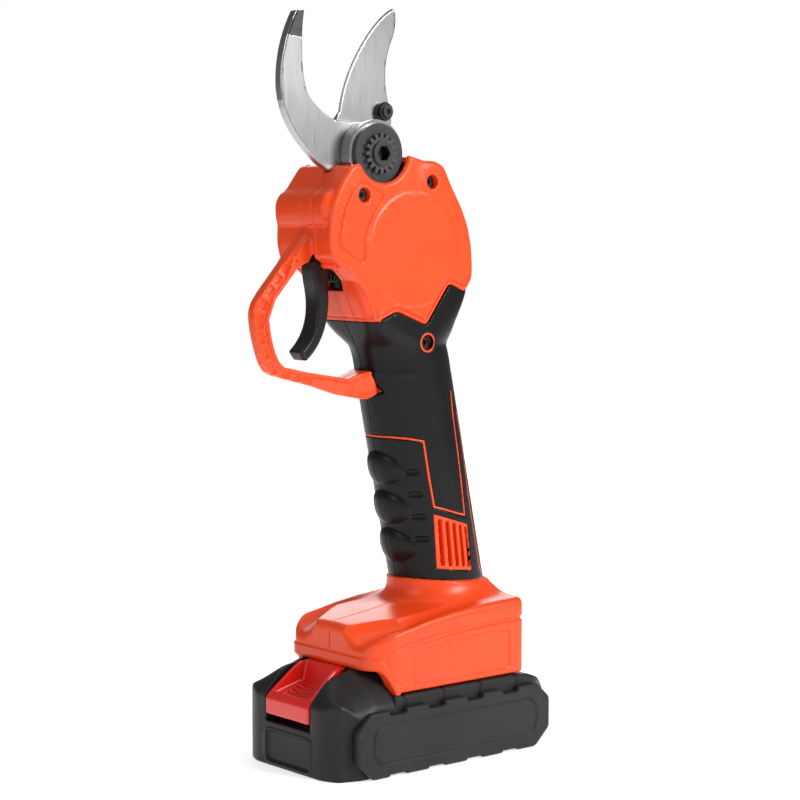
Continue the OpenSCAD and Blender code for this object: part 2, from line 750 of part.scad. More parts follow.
module trigger_switch() {
    color(BLACK) {
        translate([-35.4, -5, 208.6]) cube([3.4, 10, 9.4]);
        translate([-36.8, -1.6, 208.9]) cube([1.5, 3.2, 2.2]);
    }
}

// ---- Electronics in the foot ----

module control_board() {
    color(BOARD) translate([-26, -22, 52]) cube([60, 44, 1.6]);
    color(BLACK) {
        translate([-22, -16, 53.6 - eps]) cube([14, 10, 4]);
        translate([-4, -18, 53.6 - eps]) cube([12, 36, 5]);
        translate([20, -14, 53.6 - eps]) cube([8, 8, 2]);
    }
}

// Three leads up the handle from the board to the motor
module motor_leads() {
    lead_len = 120;
    color(RED) for (i = [-1:1]) translate([handle_x(62) - 4, 3.2 * i, 62]) rotate([0, -handle_lean, 0])
        cylinder(h = lead_len, r = 1.2, $fn = 24);
}

module terminal_block() {
    color(BLACK) difference() {
        translate([0, -15.5, 46.7]) cube([35, 31, 4.6]);
        for (y = [-10, 0, 10]) translate([3, y - 0.5, 40]) cube([27, 1, 20]);
    }
}

module terminal_blades() {
    color(COPPER) for (y = [-10, 0, 10]) {
        translate([4, y - 0.4, 38.5]) cube([25, 0.8, 12]);
    }
}

// ---- Fasteners of the housing ----

// A socket or cross-head screw along Y with its head at y_head, pointing to dir
module side_screw(p, y_head, dir, len) {
    difference() {
        union() {
            y_rod(p, 2.9, min(y_head, y_head + dir * 2), max(y_head, y_head + dir * 2), 32);
            y_rod(p, 1.3, min(y_head, y_head + dir * len), max(y_head, y_head + dir * len), 24);
        }
        y_rod(p, 1.3, y_head - 0.9, y_head + 0.9, 6);
    }
}

module housing_screws_left() {
    color(BLACK) {
        for (p = bracket_screws) side_screw(p, -half_w + head_depth[0], 1, 6.9);
        side_screw(grip_screw, -half_w + head_depth[0], 1, 20.4);
    }
}

module housing_screws_right() {
    color(BLACK) {
        for (p = bracket_screws) side_screw(p, half_w - head_depth[1], -1, 7);
        for (p = foot_screws) side_screw(p, p[1] > 80 ? 16.2 : 25, -1, p[1] > 80 ? 22 : 30);
    }
}

// ---- Battery pack ----

// Plan of the pack between its bumpers, shrunk by d
module pack_plan(d = 0) {
    offset(delta = -d) offset(r = 3.5, $fn = 24) offset(delta = -3.5) polygon([
        [-65, -23.5], [-65, 23.5], [-61.3, 31.3], [-57, 32.5], [-52, case_half],
        [50, case_half], [62, 27], [64, 18],
        [64, -18], [62, -27], [50, -case_half], [-52, -case_half], [-57, -32.5], [-61.3, -31.3]]);
}

// Side view of the pack's shoulders: the front and rear edges slope
module pack_profile(d = 0) {
    offset(delta = -d) polygon([
        [-64, 0], [-65, 2], [-65, 29.6], [-63, 31.6], [-55, 36], [-50, 39], [-40, 40], [-40, 60], [36, 60],
        [36, pack_h], [46, 33.3], [55, 30], [61, 24.8], [64, 19], [64, 2.4], [62, 0]]);
}

// Places children at the pack's four screws
module at_battery_screws() {
    for (p = battery_screw_at) translate([p[0], p[1], 0]) children();
}

// Base plate of the pack with the bosses of its screws; the cover's walls stand round it
module battery_case() {
    color(CHARCOAL) {
        difference() {
            linear_extrude(2.2) pack_plan(pack_wall + 0.1);
            at_battery_screws() translate([0, 0, -1]) cylinder(h = 10, r = 1.6, $fn = 24);
            at_battery_screws() translate([0, 0, -1]) cylinder(h = 2.2, r = 2.7, $fn = 24);
        }
        at_battery_screws() translate([0, 0, 1.2]) difference() {
            cylinder(h = boss_seam - 2.4, r = 3, $fn = 32);
            translate([0, 0, -1]) cylinder(h = 20, r = 1.6, $fn = 24);
        }
    }
}

module battery_cover() {
    color(CHARCOAL) difference() {
        intersection() {
            union() {
                linear_extrude(pack_h) pack_plan();
                // Block with the rail grooves, which slides under the foot
                translate([-50, -25.6, pack_h - 1]) cube([86, 51.2, block_top - pack_h + 1]);
                translate([-64, -22, pack_h - 4]) cube([16, 44, 12]);
            }
            plate(-50, 50) pack_profile();
        }
        // Room for the cells, open at the bottom
        intersection() {
            linear_extrude(pack_h - 2.2) pack_plan(pack_wall);
            plate(-50, 50) pack_profile(2.2);
        }
        translate([0, 0, -1]) linear_extrude(5) pack_plan(pack_wall);
        translate([-36, -18.6, 28]) cube([68, 37.2, 14]);
        // Recess for the blank name plate
        translate([-66, -16, 2.4]) cube([1.7, 32, 13.4]);
        // Grooves for the foot's rails, open at the rear
        for (side = [-1, 1]) translate([-33, side > 0 ? 20.2 : -30.2, rail_z[0] - 0.35])
            cube([80, 10, rail_z[1] - rail_z[0] + 0.7]);
        // Slots for the tool's blades, open at the rear and the top
        for (y = [-10, 0, 10]) translate([2, y - 1.5, 37]) cube([40, 3, 20]);
        // Opening of the latch and its tongue
        translate([-70, -15.8, 19.6]) cube([26.2, 31.6, 40]);
        translate([-46, -9.4, 28]) cube([7, 18.8, 40]);
    }
    color(CHARCOAL) for (p = battery_screw_at) translate([p[0], p[1], boss_seam]) difference() {
        cylinder(h = p[0] < 0 ? 15 : 11, r = 3, $fn = 32);
        translate([0, 0, -1]) cylinder(h = 9, r = 1.25, $fn = 24);
    }
}

// Side bumper: an eight-sided plate with notches along its edges and a panel line
module bumper(side) {
    y0 = side < 0 ? -pack_half : case_half;
    y1 = side < 0 ? -case_half : pack_half;
    color(BLACK) difference() {
        plate(y0, y1) difference() {
            soften(1.5) polygon([[-47.5, 0], [-56.3, 8], [-56.3, 22], [-47.5, 29.4], [46.5, 29.4], [56.3, 22],
                                 [56.3, 8], [46.5, 0]]);
            for (x = [-33.5, -11.4, 10.8, 32]) translate([x, 29.4])
                polygon([[-5, 1], [5, 1], [3.8, -2.4], [-3.8, -2.4]]);
        }
        face_y = side * pack_half;
        plate(min(face_y, face_y - side * 0.6), max(face_y, face_y - side * 0.6)) difference() {
            translate([0, 15]) offset(r = 8, $fn = 32) square([79, 1.4], center = true);
            translate([0, 15]) offset(r = 7.2, $fn = 32) square([79, 1.4], center = true);
        }
    }
}

module bumper_left() { bumper(-1); }
module bumper_right() { bumper(1); }

module battery_cells() {
    color([0.2, 0.45, 0.7]) for (x = cell_x) {
        y_rod([x, cell_z], cell_d / 2, -cell_len / 2 + 1, cell_len / 2, 48);
        y_rod([x, cell_z], 3.4, -cell_len / 2, -cell_len / 2 + 1 + eps, 32);
    }
}

// Two end frames that hold the cells
module cell_holder() {
    color(BLACK) for (side = [-1, 1]) difference() {
        translate([-49.6, side > 0 ? 20 : -28, 2.6]) cube([99.2, 8, 22]);
        for (x = cell_x) y_rod([x, cell_z], cell_d / 2 + 0.1, -40, 40, 48);
    }
}

module cell_strips() {
    color(STEEL) for (side = [-1, 1]) for (i = [0:1]) {
        x = side < 0 ? cell_x[2 * i] : cell_x[2 * i + 1];
        translate([x - 4, side < 0 ? -cell_len / 2 - 0.25 : cell_len / 2, cell_z - 3.5])
            cube([cell_pitch + 8, 0.25, 7]);
    }
}

module battery_board() {
    color(BOARD) translate([-38, -24, 25.4]) cube([72, 48, 1.4]);
    color(BLACK) translate([-30, -12, 26.8 - eps]) cube([10, 8, 2]);
}

// Three spring contacts that grip the tool's blades
module battery_contacts() {
    color(BRASS) for (y = [-10, 0, 10]) for (side = [-1, 1])
        translate([14, side > 0 ? y + 0.5 : y - 1.1, 26.8]) cube([10, 0.6, 16.6]);
}

// Release latch: a front lip, a scooped and ribbed finger recess and a tongue at the back
module latch_button() {
    color(RED) difference() {
        union() {
            plate(-15.4, 15.4) polygon([
                [-64.6, 22.6], [-64.6, 31.2], [-63.4, 32.6], [-62, 32.4], [-59, 31.8], [-49.4, 34.6],
                [-47.4, 43.6],
                [-46.4, 44.4], [-43.4, 44.5], [-43.4, 42.9], [-44.2, 42.5], [-44.2, 25], [-60, 22.6]]);
            for (side = [-1, 1]) plate(side > 0 ? 13.2 : -15.4, side > 0 ? 15.4 : -13.2)
                polygon([[-62.6, 30], [-61, 33.4], [-48, 44], [-45, 44.4], [-45, 30]]);
            translate([-45, -9, 36]) cube([4.6, 18, 46.2 - 36]);
        }
        for (i = [0:3]) translate([-58 + 2.2 * i, -10.5, 31.4 + 0.87 * i]) cube([1.1, 21, 3]);
        translate([-57, -12, 20]) cube([11, 24, 6.4]);
    }
}

module latch_spring() {
    color(STEEL) translate([-52, 0, 20]) coil(3, 0.4, 4, 1.4);
}

module battery_screws() {
    color(BLACK) for (p = battery_screw_at) translate([p[0], p[1], 0.3]) difference() {
        union() {
            cylinder(h = 0.9, r = 2.6, $fn = 32);
            cylinder(h = 20, r = 1.2, $fn = 24);
        }
        translate([0, 0, -1]) cylinder(h = 1.6, r = 1.2, $fn = 6);
    }
}

housing_left();
housing_right();
grip_left();
grip_right();
head_bracket();
gear_case();
ring_gear();
fixed_blade();
blade_screws();
thrust_washer();
lock_disc();
spline_washer();
pivot_bolt();
pivot_nut();
pivot_bush();
output_bearing();
motor_can();
motor_windings();
motor_end_cap();
motor_bearings();
housing_screws_left();
housing_screws_right();
trigger_pin();
trigger_spring();
trigger_switch();
control_board();
motor_leads();
terminal_block();
terminal_blades();
moving_blade();
sector_gear();
blade_boss();
blade_boss_screw();
output_carrier();
bevel_pinion();
first_carrier();
motor_rotor();
motor_shaft();
planet_1a();
planet_1b();
planet_1c();
planet_2a();
planet_2b();
planet_2c();
trigger();
latch_button();
latch_spring();
battery_case();
battery_cover();
bumper_left();
bumper_right();
battery_cells();
cell_holder();
cell_strips();
battery_board();
battery_contacts();
battery_screws();
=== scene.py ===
import math

import bpy
import numpy as np
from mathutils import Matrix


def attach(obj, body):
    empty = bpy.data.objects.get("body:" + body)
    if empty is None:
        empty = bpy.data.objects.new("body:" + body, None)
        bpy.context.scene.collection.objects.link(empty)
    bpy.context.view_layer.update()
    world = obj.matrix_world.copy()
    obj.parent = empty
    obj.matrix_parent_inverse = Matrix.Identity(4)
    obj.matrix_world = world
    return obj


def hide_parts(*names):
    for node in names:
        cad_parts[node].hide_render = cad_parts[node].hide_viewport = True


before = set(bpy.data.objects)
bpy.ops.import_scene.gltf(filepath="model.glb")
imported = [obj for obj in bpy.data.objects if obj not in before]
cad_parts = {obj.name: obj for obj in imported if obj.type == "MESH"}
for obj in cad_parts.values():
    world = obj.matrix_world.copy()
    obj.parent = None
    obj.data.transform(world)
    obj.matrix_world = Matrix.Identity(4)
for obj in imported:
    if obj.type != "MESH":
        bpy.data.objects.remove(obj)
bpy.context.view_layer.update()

import openvdb
from mathutils import Vector

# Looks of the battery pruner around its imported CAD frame. The moulded and ground pieces are signed
# distance fields in millimetres: -X is the front, -Y the left side and +Z up, as in the CAD.

MM = 0.001
PIVOT = (-25.5, 267.0)
HEAD_HALF = 19.0
GRIP_DEPTH, GRIP_WIDTH = 23.0, 19.0
LEAN = math.radians(11.7)
SOFT = 2.2
WALL = 2.4
FOOT_FLOOR = 34.4
FOOT_HALF = 33.0
PACK_TOP = 34.0


# ---- Distance fields ----

class Grid:
    """Sample points of a box in mm, as three arrays that broadcast against each other."""

    def __init__(self, lo, hi, step):
        self.lo, self.step = np.array(lo, float), step
        axes = [np.arange(a, b + step * 0.5, step, dtype=np.float32) for a, b in zip(lo, hi)]
        self.x = axes[0].reshape(-1, 1, 1)
        self.y = axes[1].reshape(1, -1, 1)
        self.z = axes[2].reshape(1, 1, -1)


def smooth_step(value, start, end):
    t = np.clip((value - start) / (end - start), 0, 1)
    return t * t * (3 - 2 * t)


def smooth_max(a, b, radius):
    return np.maximum(a, b) + np.maximum(radius - np.abs(a - b), 0) ** 2 / (4 * radius)


def smooth_min(a, b, radius):
    return -smooth_max(-a, -b, radius)


def curve(a, b, c, d, count=8):
    """Points of a cubic curve from a to d."""
    points = []
    for i in range(count + 1):
        t = i / count
        u = 1 - t
        weights = (u * u * u, 3 * u * u * t, 3 * u * t * t, t * t * t)
        points.append(tuple(sum(w * p[k] for w, p in zip(weights, (a, b, c, d))) for k in (0, 1)))
    return points


def arc(centre, radius, start, end, count):
    """Points of a circular arc; angles in degrees."""
    angles = np.radians(np.linspace(start, end, count))
    return [(centre[0] + radius * math.cos(a), centre[1] + radius * math.sin(a)) for a in angles]


def rounded(points, radius, steps=4):
    """A closed outline with each corner replaced by a tangent curve."""
    out = []
    count = len(points)
    for i, corner in enumerate(points):
        corner = np.array(corner, float)
        before = np.array(points[i - 1], float) - corner
        after = np.array(points[(i + 1) % count], float) - corner
        room = min(radius, np.linalg.norm(before) * 0.45, np.linalg.norm(after) * 0.45)
        first = corner + before / np.linalg.norm(before) * room
        last = corner + after / np.linalg.norm(after) * room
        for k in range(steps + 1):
            t = k / steps
            out.append(tuple((1 - t) ** 2 * first + 2 * t * (1 - t) * corner + t * t * last))
    return out


def outline_field(u, v, points):
    """Signed distance to a closed outline, negative inside."""
    shape = np.broadcast(u, v).shape
    nearest = np.full(shape, 1e9, np.float32)
    inside = np.zeros(shape, bool)
    for (ax, ay), (bx, by) in zip(points, points[1:] + points[:1]):
        ex, ey = bx - ax, by - ay
        length2 = ex * ex + ey * ey
        if length2 < 1e-9:
            continue
        px, py = u - np.float32(ax), v - np.float32(ay)
        t = np.clip((px * ex + py * ey) / length2, 0, 1)
        nearest = np.minimum(nearest, (px - ex * t) ** 2 + (py - ey * t) ** 2)
        if abs(ey) > 1e-9:
            inside ^= ((ay > v) != (by > v)) & (px < py * (ex / ey))
    return np.where(inside, -1, 1).astype(np.float32) * np.sqrt(nearest)


def path_field(u, v, points):
    """Distance to an open path, and how far along it the nearest point lies."""
    shape = np.broadcast(u, v).shape
    nearest = np.full(shape, 1e9, np.float32)
    along = np.zeros(shape, np.float32)
    done = 0.0
    for (ax, ay), (bx, by) in zip(points, points[1:]):
        ex, ey = bx - ax, by - ay
        length = math.hypot(ex, ey)
        px, py = u - np.float32(ax), v - np.float32(ay)
        t = np.clip((px * ex + py * ey) / length ** 2, 0, 1)
        found = (px - ex * t) ** 2 + (py - ey * t) ** 2
        closer = found < nearest
        nearest = np.where(closer, found, nearest)
        along = np.where(closer, done + t * length, along)
        done += length
    return np.sqrt(nearest), along


def slab(flat, across, low, high, radius=0.0):
    """An outline given depth from low to high, with its edges rounded."""
    a = flat + radius
    b = np.abs(across - (low + high) / 2) - (high - low) / 2 + radius
    return np.minimum(np.maximum(a, b), 0) + np.hypot(np.maximum(a, 0), np.maximum(b, 0)) - radius


def disc(u, v, centre, radius):
    return np.hypot(u - centre[0], v - centre[1]) - radius


def ramp(value, table):
    """A smooth height read from a short list of stations."""
    stations, heights = zip(*table)
    return np.interp(value, stations, heights).astype(np.float32)


def eased(value, table, reach):
    """A ramp whose corners are rounded over a reach either side."""
    return sum(ramp(value + shift * reach, table) for shift in (-1, -0.5, 0, 0.5, 1)) / 5


def sampled(field, at):
    """The field between its samples."""
    top = np.array(field.shape) - 2
    base = np.clip(np.floor(at).astype(int), 0, top)
    part = np.clip(at - base, 0, 1)
    total = 0
    for corner in range(8):
        bits = np.array([corner >> 2 & 1, corner >> 1 & 1, corner & 1])
        weight = np.prod(np.where(bits, part, 1 - part), axis=1)
        index = base + bits
        total = total + weight * field[index[:, 0], index[:, 1], index[:, 2]]
    return total


def new_piece(name, points, faces, normals=None):
    """A smooth mesh object; points in mm."""
    mesh = bpy.data.meshes.new(name)
    mesh.from_pydata((points * MM).tolist(), [], faces)
    mesh.validate()
    mesh.shade_smooth()
    if normals is not None and len(mesh.vertices) == len(normals):
        mesh.normals_split_custom_set_from_vertices(normals.tolist())
    piece = bpy.data.objects.new(name, mesh)
    bpy.context.scene.collection.objects.link(piece)
    return piece


def moulded(name, grid, field, flatness=0.0):
    """Meshes a field's surface, with normals from the field itself."""
    limit = 3 * grid.step
    field = np.ascontiguousarray(np.clip(field, -limit, limit), dtype=np.float32)
    volume = openvdb.FloatGrid(limit)
    volume.copyFromArray(field)
    points, triangles, quads = volume.convertToPolygons(isovalue=0.0, adaptivity=flatness)
    slope = np.empty((len(points), 3))
    for axis in range(3):
        nudge = np.zeros(3)
        nudge[axis] = 0.6
        slope[:, axis] = sampled(field, points + nudge) - sampled(field, points - nudge)
    slope /= np.maximum(np.linalg.norm(slope, axis=1), 1e-9)[:, None]
    place = points * grid.step + grid.lo
    faces = [list(map(int, f)) for f in quads] + [list(map(int, f)) for f in triangles]
    first = quads if len(quads) else triangles
    turned = np.cross(points[first[:, 1]] - points[first[:, 0]], points[first[:, 2]] - points[first[:, 0]])
    if np.sum(turned * slope[first[:, 0]]) < 0:
        faces = [f[::-1] for f in faces]
    return new_piece(name, place, faces, slope)


def stands_for(piece, body, slot, *nodes):
    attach(piece, body)
    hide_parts(*nodes)


# ---- Materials ----

def shader(name):
    material = bpy.data.materials.new(name)
    material.use_nodes = True
    nodes = material.node_tree.nodes
    links = material.node_tree.links
    return material, nodes, links, nodes["Principled BSDF"]


def noise(nodes, links, scale, detail=4.0, stretch=None, rough=0.5):
    """Noise in object space; stretch squeezes it along the axes."""
    place = nodes.new("ShaderNodeTexCoord")
    texture = nodes.new("ShaderNodeTexNoise")
    texture.inputs["Scale"].default_value = scale
    texture.inputs["Detail"].default_value = detail
    texture.inputs["Roughness"].default_value = rough
    source = place.outputs["Object"]
    if stretch:
        mapping = nodes.new("ShaderNodeMapping")
        mapping.inputs["Scale"].default_value = stretch
        links.new(source, mapping.inputs["Vector"])
        source = mapping.outputs["Vector"]
    links.new(source, texture.inputs["Vector"])
    return texture.outputs["Fac"]


def spread(nodes, links, source, stops):
    """A colour ramp over a factor; stops are (position, colour)."""
    node = nodes.new("ShaderNodeValToRGB")
    for i, (position, colour) in enumerate(stops):
        element = node.color_ramp.elements[i] if i < 2 else node.color_ramp.elements.new(position)
        element.position = position
        element.color = (*colour, 1)
    links.new(source, node.inputs["Fac"])
    return node.outputs["Color"]


def span(nodes, links, source, low, high):
    """Spreads a factor between two values."""
    node = nodes.new("ShaderNodeMapRange")
    node.inputs["To Min"].default_value = low
    node.inputs["To Max"].default_value = high
    links.new(source, node.inputs["Value"])
    return node.outputs["Result"]


def grain(nodes, links, bsdf, source, strength, distance):
    node = nodes.new("ShaderNodeBump")
    node.inputs["Strength"].default_value = strength
    node.inputs["Distance"].default_value = distance
    links.new(source, node.inputs["Height"])
    links.new(node.outputs["Normal"], bsdf.inputs["Normal"])


# Pointiness at which an edge starts to look worn, and at which it is fully worn
WEAR_LOW, WEAR_HIGH = 0.53, 0.62


def edge_wear(nodes, links, colour, worn, amount):
    """Mixes in a worn colour along sharp edges."""
    geometry = nodes.new("ShaderNodeNewGeometry")
    shape = nodes.new("ShaderNodeMapRange")
    shape.inputs["From Min"].default_value = WEAR_LOW
    shape.inputs["From Max"].default_value = WEAR_HIGH
    shape.inputs["To Max"].default_value = amount
    links.new(geometry.outputs["Pointiness"], shape.inputs["Value"])
    mix = nodes.new("ShaderNodeMix")
    mix.data_type = "RGBA"
    links.new(shape.outputs["Result"], mix.inputs["Factor"])
    links.new(colour, mix.inputs["A"])
    mix.inputs["B"].default_value = (*worn, 1)
    return mix.outputs["Result"]


def plastic(name, dark, light, roughness, gloss=0.5, grain_size=2600.0, grain_depth=0.00003, worn=None,
            coat=0.0):
    """Moulded plastic: slow colour drift, fine spark-eroded grain and lighter edges."""
    material, nodes, links, bsdf = shader(name)
    drift = noise(nodes, links, 22.0, 3.0)
    colour = spread(nodes, links, drift, [(0.3, dark), (0.7, light)])
    if worn:
        colour = edge_wear(nodes, links, colour, worn, 0.5)
    links.new(colour, bsdf.inputs["Base Color"])
    smudge = noise(nodes, links, 60.0, 5.0)
    links.new(span(nodes, links, smudge, roughness * 0.85, roughness * 1.2), bsdf.inputs["Roughness"])
    bsdf.inputs["Specular IOR Level"].default_value = gloss
    bsdf.inputs["Coat Weight"].default_value = coat
    bsdf.inputs["Coat Roughness"].default_value = 0.2
    grain(nodes, links, bsdf, noise(nodes, links, grain_size, 2.0), 0.35, grain_depth)
    return material


def rubber(name, dark, light, roughness):
    """Soft overmould: leathery grain."""
    material, nodes, links, bsdf = shader(name)
    drift = noise(nodes, links, 30.0, 4.0)
    links.new(spread(nodes, links, drift, [(0.3, dark), (0.7, light)]), bsdf.inputs["Base Color"])
    links.new(span(nodes, links, noise(nodes, links, 90.0, 5.0), roughness * 0.9, roughness * 1.15),
              bsdf.inputs["Roughness"])
    bsdf.inputs["Specular IOR Level"].default_value = 0.2
    cells = nodes.new("ShaderNodeTexVoronoi")
    cells.inputs["Scale"].default_value = 1500.0
    place = nodes.new("ShaderNodeTexCoord")
    links.new(place.outputs["Object"], cells.inputs["Vector"])
    grain(nodes, links, bsdf, cells.outputs["Distance"], 0.3, 0.00004)
    return material


def brushed(name, dark, light, roughness, stretch, streak=1400.0, anisotropy=0.4, depth=0.000015,
            tip_shade=None):
    """Ground or brushed metal: fine streaks across the stretch's short axis; tip_shade darkens it between two
    heights, a painted shade.
    """
    material, nodes, links, bsdf = shader(name)
    bsdf.inputs["Metallic"].default_value = 1.0
    streaks = noise(nodes, links, streak, 3.0, stretch, 0.6)
    broad = noise(nodes, links, 35.0, 3.0)
    mix = nodes.new("ShaderNodeMath")
    mix.operation = "MULTIPLY_ADD"
    links.new(streaks, mix.inputs[0])
    mix.inputs[1].default_value = 0.6
    links.new(span(nodes, links, broad, 0.0, 0.4), mix.inputs[2])
    colour = spread(nodes, links, mix.outputs["Value"], [(0.25, dark), (0.75, light)])
    # Painted shade: the colour darkens with height, standing in for the darker reflection towards a blade's tip
    if tip_shade:
        split = nodes.new("ShaderNodeSeparateXYZ")
        links.new(nodes.new("ShaderNodeTexCoord").outputs["Object"], split.inputs["Vector"])
        height = nodes.new("ShaderNodeMapRange")
        height.interpolation_type = "SMOOTHSTEP"
        height.inputs["From Min"].default_value = tip_shade[0] * MM
        height.inputs["From Max"].default_value = tip_shade[1] * MM
        height.inputs["To Max"].default_value = tip_shade[2]
        links.new(split.outputs["Z"], height.inputs["Value"])
        shade = nodes.new("ShaderNodeMix")
        shade.data_type = "RGBA"
        links.new(height.outputs["Result"], shade.inputs["Factor"])
        links.new(colour, shade.inputs["A"])
        shade.inputs["B"].default_value = (0.02, 0.02, 0.022, 1)
        colour = shade.outputs["Result"]
    links.new(colour, bsdf.inputs["Base Color"])
    links.new(span(nodes, links, streaks, roughness * 0.8, roughness * 1.25), bsdf.inputs["Roughness"])
    bsdf.inputs["Anisotropic"].default_value = anisotropy
    grain(nodes, links, bsdf, streaks, 0.3, depth)
    return material


COATING_WORN = (0.10, 0.10, 0.105)


def coated(name, dark, light, roughness):
    """Blackened or plated metal with speckle and bright worn edges."""
    material, nodes, links, bsdf = shader(name)
    speckle = noise(nodes, links, 420.0, 5.0)
    colour = spread(nodes, links, speckle, [(0.3, dark), (0.75, light)])
    links.new(edge_wear(nodes, links, colour, COATING_WORN, 0.45), bsdf.inputs["Base Color"])
    bsdf.inputs["Metallic"].default_value = 0.0
    bsdf.inputs["Specular IOR Level"].default_value = 0.3
    links.new(span(nodes, links, speckle, roughness * 0.8, roughness * 1.3), bsdf.inputs["Roughness"])
    grain(nodes, links, bsdf, speckle, 0.2, 0.00003)
    return material


def board_material(name):
    """Green solder mask with fine tracks."""
    material, nodes, links, bsdf = shader(name)
    bricks = nodes.new("ShaderNodeTexBrick")
    bricks.inputs["Scale"].default_value = 320.0
    bricks.inputs["Color1"].default_value = (0.01, 0.12, 0.04, 1)
    bricks.inputs["Color2"].default_value = (0.015, 0.16, 0.06, 1)
    bricks.inputs["Mortar"].default_value = (0.05, 0.3, 0.12, 1)
    place = nodes.new("ShaderNodeTexCoord")
    links.new(place.outputs["Object"], bricks.inputs["Vector"])
    links.new(bricks.outputs["Color"], bsdf.inputs["Base Color"])
    links.new(span(nodes, links, noise(nodes, links, 200.0), 0.3, 0.5), bsdf.inputs["Roughness"])
    grain(nodes, links, bsdf, bricks.outputs["Fac"], 0.3, 0.00005)
    return material


ORANGE = plastic("orange_shell", (0.90, 0.065, 0.006), (0.98, 0.080, 0.009), 0.34, 0.45,
                 worn=(1.0, 0.2, 0.06))
GRIP = rubber("soft_grip", (0.005, 0.005, 0.0053), (0.0085, 0.0085, 0.009), 0.32)
PACK = plastic("pack_shell", (0.013, 0.013, 0.0135), (0.020, 0.020, 0.021), 0.42, 0.25, 1900.0, 0.00006,
               (0.06, 0.06, 0.06))
BUMPER = plastic("bumper_rubber", (0.017, 0.017, 0.0175), (0.025, 0.025, 0.026), 0.45, 0.25, 1500.0,
                 0.00007, (0.07, 0.07, 0.07))
TRIGGER = plastic("trigger_plastic", (0.007, 0.007, 0.0075), (0.012, 0.012, 0.0125), 0.28, 0.35, 2600.0,
                  0.00002, (0.04, 0.04, 0.04))
LATCH = plastic("latch_red", (0.72, 0.012, 0.006), (0.85, 0.020, 0.009), 0.25, 0.5, 3000.0, 0.00001,
                (1.0, 0.08, 0.05), 0.3)
BLACK_PLASTIC = plastic("black_plastic", (0.012, 0.012, 0.013), (0.022, 0.022, 0.023), 0.45)
CELL = plastic("cell_wrap", (0.05, 0.16, 0.4), (0.07, 0.22, 0.5), 0.3)
LEAD = plastic("lead_insulation", (0.5, 0.02, 0.015), (0.65, 0.03, 0.02), 0.4)
# Both blades are painted darker towards their tips: a painted shade for the darker reflection there
BLADE = brushed("blade_steel", (0.44, 0.445, 0.45), (0.54, 0.545, 0.55), 0.30, (1.0, 1.0, 0.06),
                tip_shade=(292, 334, 0.5))
# Near-black steel for the hook's ground tip flat: the flat is real in shape, its dark colour is a painted shade for
# the dark reflection it shows
GROUND_FLAT_SHADE = brushed("ground_flat_painted_shade", (0.05, 0.05, 0.052), (0.08, 0.08, 0.083), 0.36, (0.1, 1.0, 1.0))
BRIGHT = brushed("bright_steel", (0.6, 0.61, 0.62), (0.84, 0.85, 0.86), 0.22, (1.0, 0.08, 1.0))
CAST = brushed("cast_metal", (0.34, 0.345, 0.35), (0.50, 0.505, 0.51), 0.42, (1.0, 1.0, 1.0), 600.0, 0.0,
               0.00008)
BLACK_METAL = coated("black_metal", (0.005, 0.005, 0.0055), (0.011, 0.011, 0.0115), 0.34)
# A lighter copy of the black metal for the spline washer: painted light, so its teeth stand out against the disc
# where the shadow in their gaps falls short
SPLINE_LIT_COPY = coated("spline_painted_lighter", (0.030, 0.030, 0.031), (0.048, 0.048, 0.050), 0.4)
BRONZE = brushed("bronze", (0.45, 0.28, 0.1), (0.66, 0.46, 0.2), 0.32, (1.0, 1.0, 0.3))
COPPER = brushed("copper", (0.55, 0.2, 0.08), (0.8, 0.38, 0.18), 0.3, (0.2, 1.0, 1.0), 2400.0)
BOARD = board_material("board")

MATERIALS = {
    "orange_shell": ORANGE, "soft_grip": GRIP, "pack_shell": PACK, "bumper_rubber": BUMPER,
    "trigger_plastic": TRIGGER, "latch_red": LATCH, "black_plastic": BLACK_PLASTIC, "cell_wrap": CELL,
    "lead_insulation": LEAD, "blade_steel": BLADE, "bright_steel": BRIGHT, "cast_metal": CAST,
    "black_metal": BLACK_METAL, "bronze": BRONZE, "copper": COPPER, "board": BOARD,
}


def paint(piece, material):
    piece.data.materials.clear()
    piece.data.materials.append(material)


# ---- Outlines shared by the housing and the grip, in x and z ----

HEAD_POINTS = [
    (-40, 262.4), (-14.4, 267.2), (-1.7, 264), (3.9, 263.8), (8.4, 261.8), (13.9, 252.2), (19.4, 243.3),
    (22.8, 235.6), (24.9, 227.2), (25.6, 217), (25.3, 212.2), (21.1, 206.2), (11.7, 210.2), (-1.7, 192),
    (-18.3, 198.7), (-30.6, 193.9), (-33.9, 202.8), (-38.3, 210), (-45, 216.7), (-54.4, 221.7),
    (-56, 229), (-55.6, 237), (-53.8, 245), (-49.6, 253.4), (-43.4, 261.4)]
NECK_FRONT = [(172, -22.7), (180, -24.4), (184, -26.6), (190, -30.2), (196, -33.5), (206, -38), (215, -40),
              (232, -41)]
NECK_REAR = [(172, 23.3), (180, 21.6), (184, 20.2), (189, 18.9), (193, 18.7), (198, 20.4), (206, 23.8),
             (214, 24.8),
             (232, 25)]
LIP = 194.6
GUARD_INNER = [(-46, 220.2), (-57, 220.4), (-62.3, 217.6), (-73.6, 205)] + curve(
    (-77, 197), (-76.6, 190), (-74, 179), (-69.2, 176.3), 8) + [(-56.7, 173.5), (-34.2, 169.6),
                                                                (-24, 172.6)]
GUARD_OUTER = [(-50, 239), (-57, 232), (-66.9, 221.3), (-82, 204.4)] + curve(
    (-83.4, 201), (-84, 196), (-81, 184), (-78.1, 177.5), 5) + curve(
    (-76, 174.6), (-73, 172), (-66, 171), (-52.5, 167.3), 5) + [(-37.5, 162.5), (-23.5, 159.8),
                                                                (-17.4, 163.1)]
